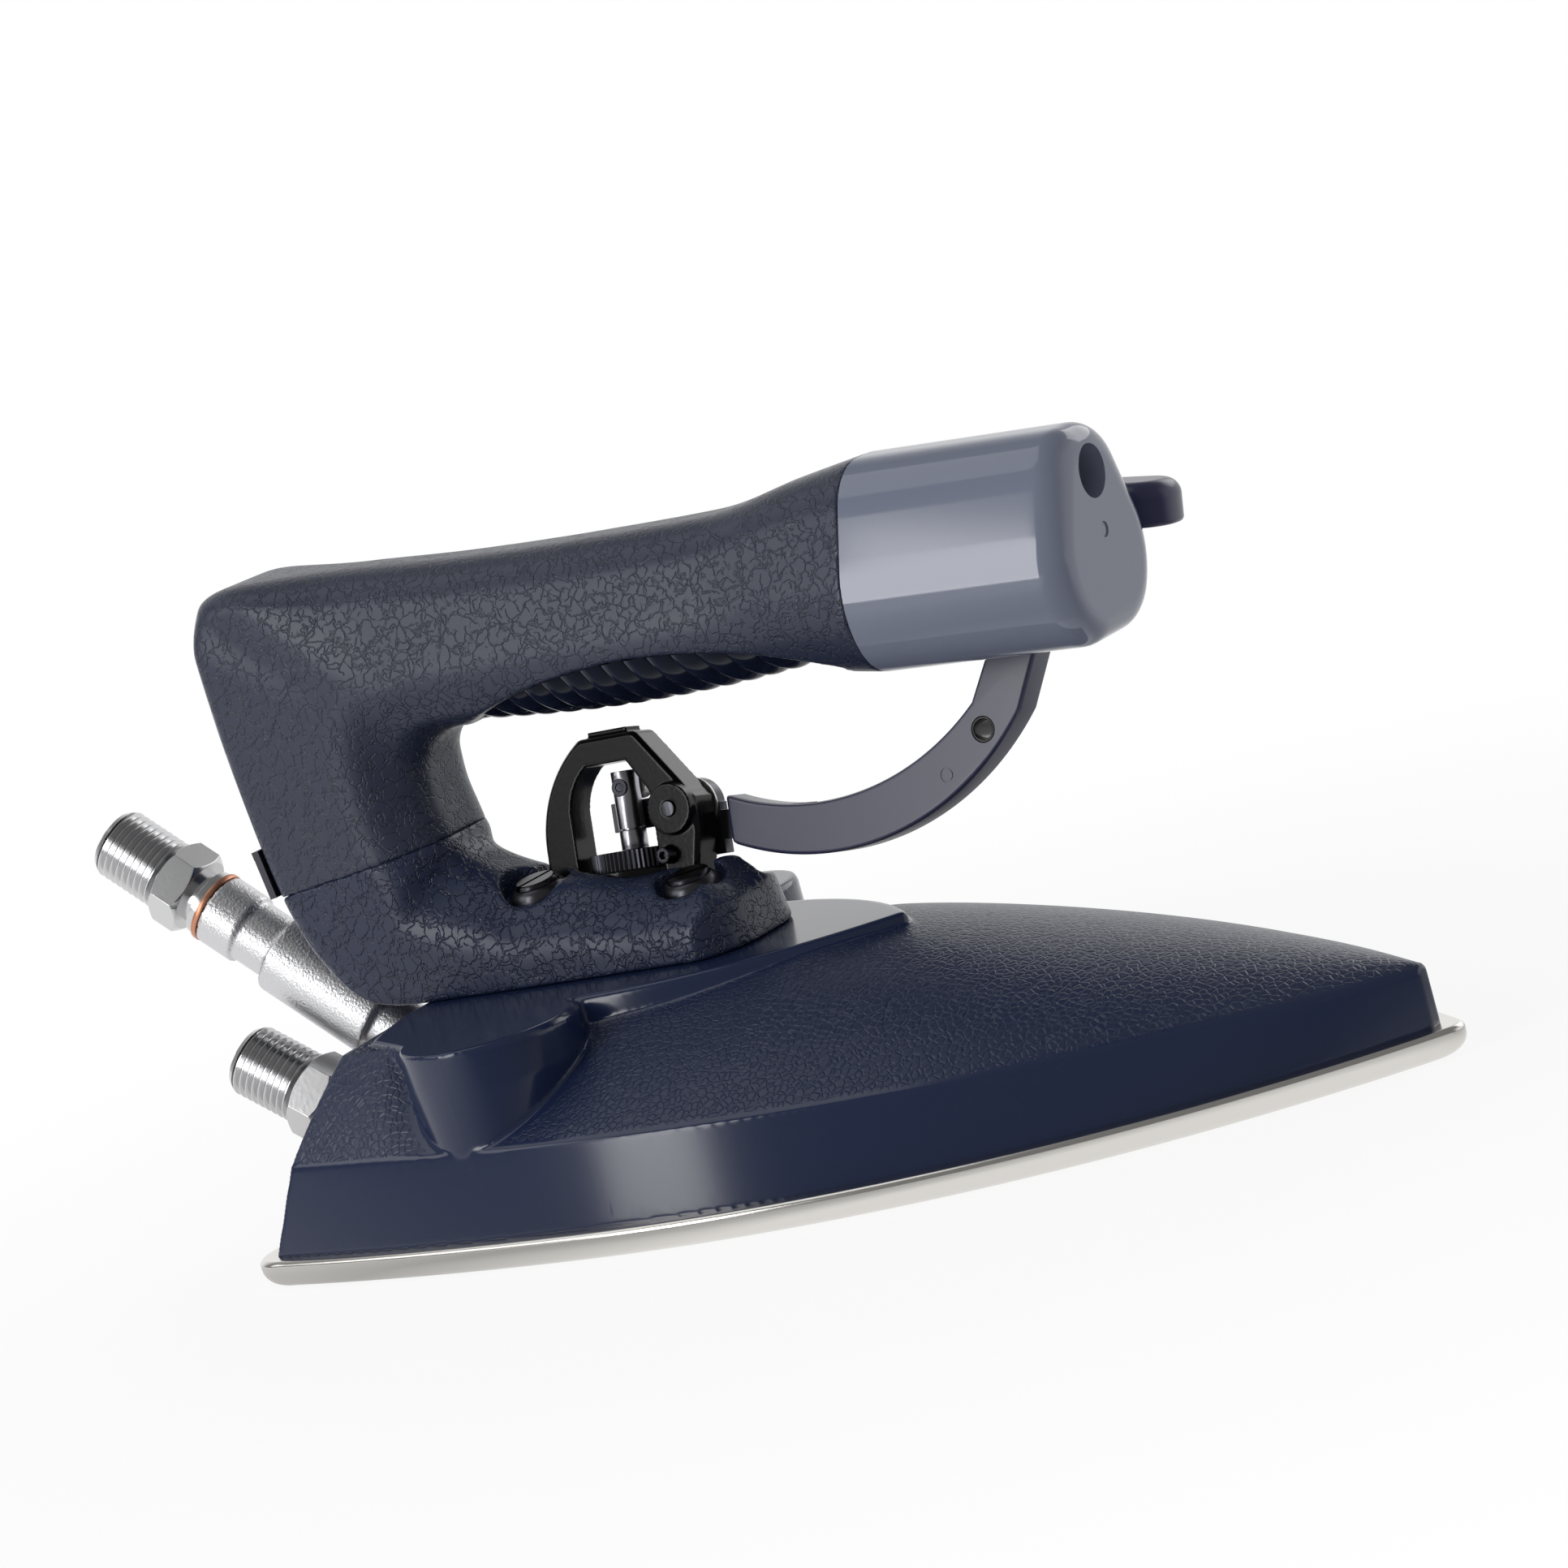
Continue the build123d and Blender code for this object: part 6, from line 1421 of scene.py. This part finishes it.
tree, shader, where = place_nodes(paper)
camera_share, gloss_share = seen_share(tree)
seen = node(tree, "Math", MAXIMUM, camera_share, gloss_share)
reach = node(tree, "VectorMath", {"operation": "LENGTH"}, where).outputs["Value"]
bare = node(tree, "MapRange", Value=reach, From_Min=SHADOW_NEAR * MM, From_Max=SHADOW_FAR * MM,
            To_Min=1 - SHADOW_SHARE, To_Max=1.0)
share = node(tree, "Math", MULTIPLY, bare, seen)
plan = node(tree, "VectorMath", MULTIPLY, where, (HALF_WIDTH / HALF_LENGTH, 1.0, 0.0))
oval = node(tree, "VectorMath", {"operation": "LENGTH"}, plan).outputs["Value"]
near = node(tree, "MapRange", Value=oval, From_Min=TABLE_FAR * MM, From_Max=TABLE_NEAR * MM)
eased = node(tree, "Math", {"operation": "POWER"}, near, TABLE_POWER)
table = node(tree, "MapRange", Value=eased, To_Min=TABLE_DIM, To_Max=1.0)
axes = node(tree, "SeparateXYZ", Vector=where).outputs
back = node(tree, "MapRange", Value=axes["Y"], From_Min=0.0, From_Max=BACK_FADE * MM)
left = node(tree, "MapRange", Value=axes["X"], From_Min=TABLE_RIGHT_X * MM, From_Max=TABLE_LEFT_X * MM)
sides = node(tree, "Math", MAXIMUM, left, back)
mirrored = node(tree, "Math", MAXIMUM, table, sides)
level = node(tree, "Math", MAXIMUM, mirrored, camera_share)
glow = node(tree, "Emission", Strength=level)
blend = node(tree, "MixShader", None, share, shader, glow)
tree.links.new(blend.outputs[0], tree.nodes["Material Output"].inputs["Surface"])

# Studio: white to the camera; gloss sees a white backdrop behind the iron and a dim room in front of it
ROOM_LIGHT = 0.45
ROOM_IN_GLOSS = 0.2
BACKDROP_START_Y = -0.1
BACKDROP_FULL_Y = 0.35
BACKDROP_TOP_Z = 0.75
BACKDROP_FULL_Z = 0.35
world = bpy.data.worlds.new("studio")
bpy.context.scene.world = world
world.use_nodes = True
tree = world.node_tree
camera_share, gloss_share = seen_share(tree)
ray = node(tree, "SeparateXYZ", Vector=tree.nodes.new("ShaderNodeTexCoord").outputs["Generated"]).outputs
behind = node(tree, "MapRange", Value=ray["Y"], From_Min=BACKDROP_START_Y, From_Max=BACKDROP_FULL_Y)
low = node(tree, "MapRange", Value=ray["Z"], From_Min=BACKDROP_TOP_Z, From_Max=BACKDROP_FULL_Z)
backdrop = node(tree, "Math", MULTIPLY, behind, low)
shown = node(tree, "MapRange", Value=backdrop, To_Min=ROOM_IN_GLOSS, To_Max=1.0)
dim = node(tree, "Mix", Factor=gloss_share, A=ROOM_LIGHT, B=shown)
sky = node(tree, "Mix", Factor=camera_share, A=dim, B=1.0)
tree.nodes["Background"].inputs["Color"].default_value = colour("#ffffff")
tree.links.new(sky.outputs[0], tree.nodes["Background"].inputs["Strength"])

# Softboxes: azimuth, height, distance from the iron, their two sides, and their glow, where 1 is white
AIM = Vector((-10.0, 0.0, 60.0))
SOFTBOXES = {
    "key_softbox": (-114.0, 343.0, 1000.0, 250.0, 646.0, 6.0),
    "fill_softbox": (-140.0, 450.0, 900.0, 420.0, 420.0, 1.6),
    "overhead_softbox": (-160.0, 960.0, 480.0, 700.0, 700.0, 0.8),
    "back_softbox": (75.0, 520.0, 900.0, 600.0, 400.0, 1.6),
}
for name, (azimuth, height, distance, width, tall, brightness) in SOFTBOXES.items():
    light = bpy.data.lights.new(name, "AREA")
    light.shape = "RECTANGLE"
    light.size = width * MM
    light.size_y = tall * MM
    light.energy = brightness * math.pi * width * tall * MM * MM
    softbox = bpy.data.objects.new(name, light)
    bpy.context.scene.collection.objects.link(softbox)
    angle = math.radians(azimuth)
    spot = Vector((AIM.x + distance * math.cos(angle), AIM.y + distance * math.sin(angle), height))
    softbox.location = spot * MM
    softbox.rotation_euler = (AIM - spot).to_track_quat("-Z", "Y").to_euler()

turn, rise, roll = (math.radians(value) for value in (TURN, RISE, ROLL))
right = (math.cos(turn), math.sin(turn), 0)
up = (-math.sin(rise) * math.sin(turn), math.sin(rise) * math.cos(turn), math.cos(rise))
towards = (math.sin(turn) * math.cos(rise), -math.cos(turn) * math.cos(rise), math.sin(rise))
rolled = np.array([(math.cos(roll), -math.sin(roll), 0), (math.sin(roll), math.cos(roll), 0), (0, 0, 1)])
to_camera = rolled @ np.array([right, up, towards])
eye = -to_camera.T @ np.array([AIM_RIGHT, AIM_UP, -DISTANCE]) * MM
camera_data = bpy.data.cameras.new("camera")
camera_data.sensor_width = SENSOR
camera_data.lens = PIXELS_PER_MM * DISTANCE / IMAGE_SIDE * SENSOR
camera_data.clip_start = CLIP_NEAR * MM
camera_data.clip_end = CLIP_FAR * MM
camera = bpy.data.objects.new("camera", camera_data)
bpy.context.scene.collection.objects.link(camera)
camera.matrix_world = Matrix.Translation(Vector(eye)) @ Matrix(to_camera.T.tolist()).to_4x4()
bpy.context.scene.camera = camera
bpy.context.scene.view_settings.view_transform = "Standard"
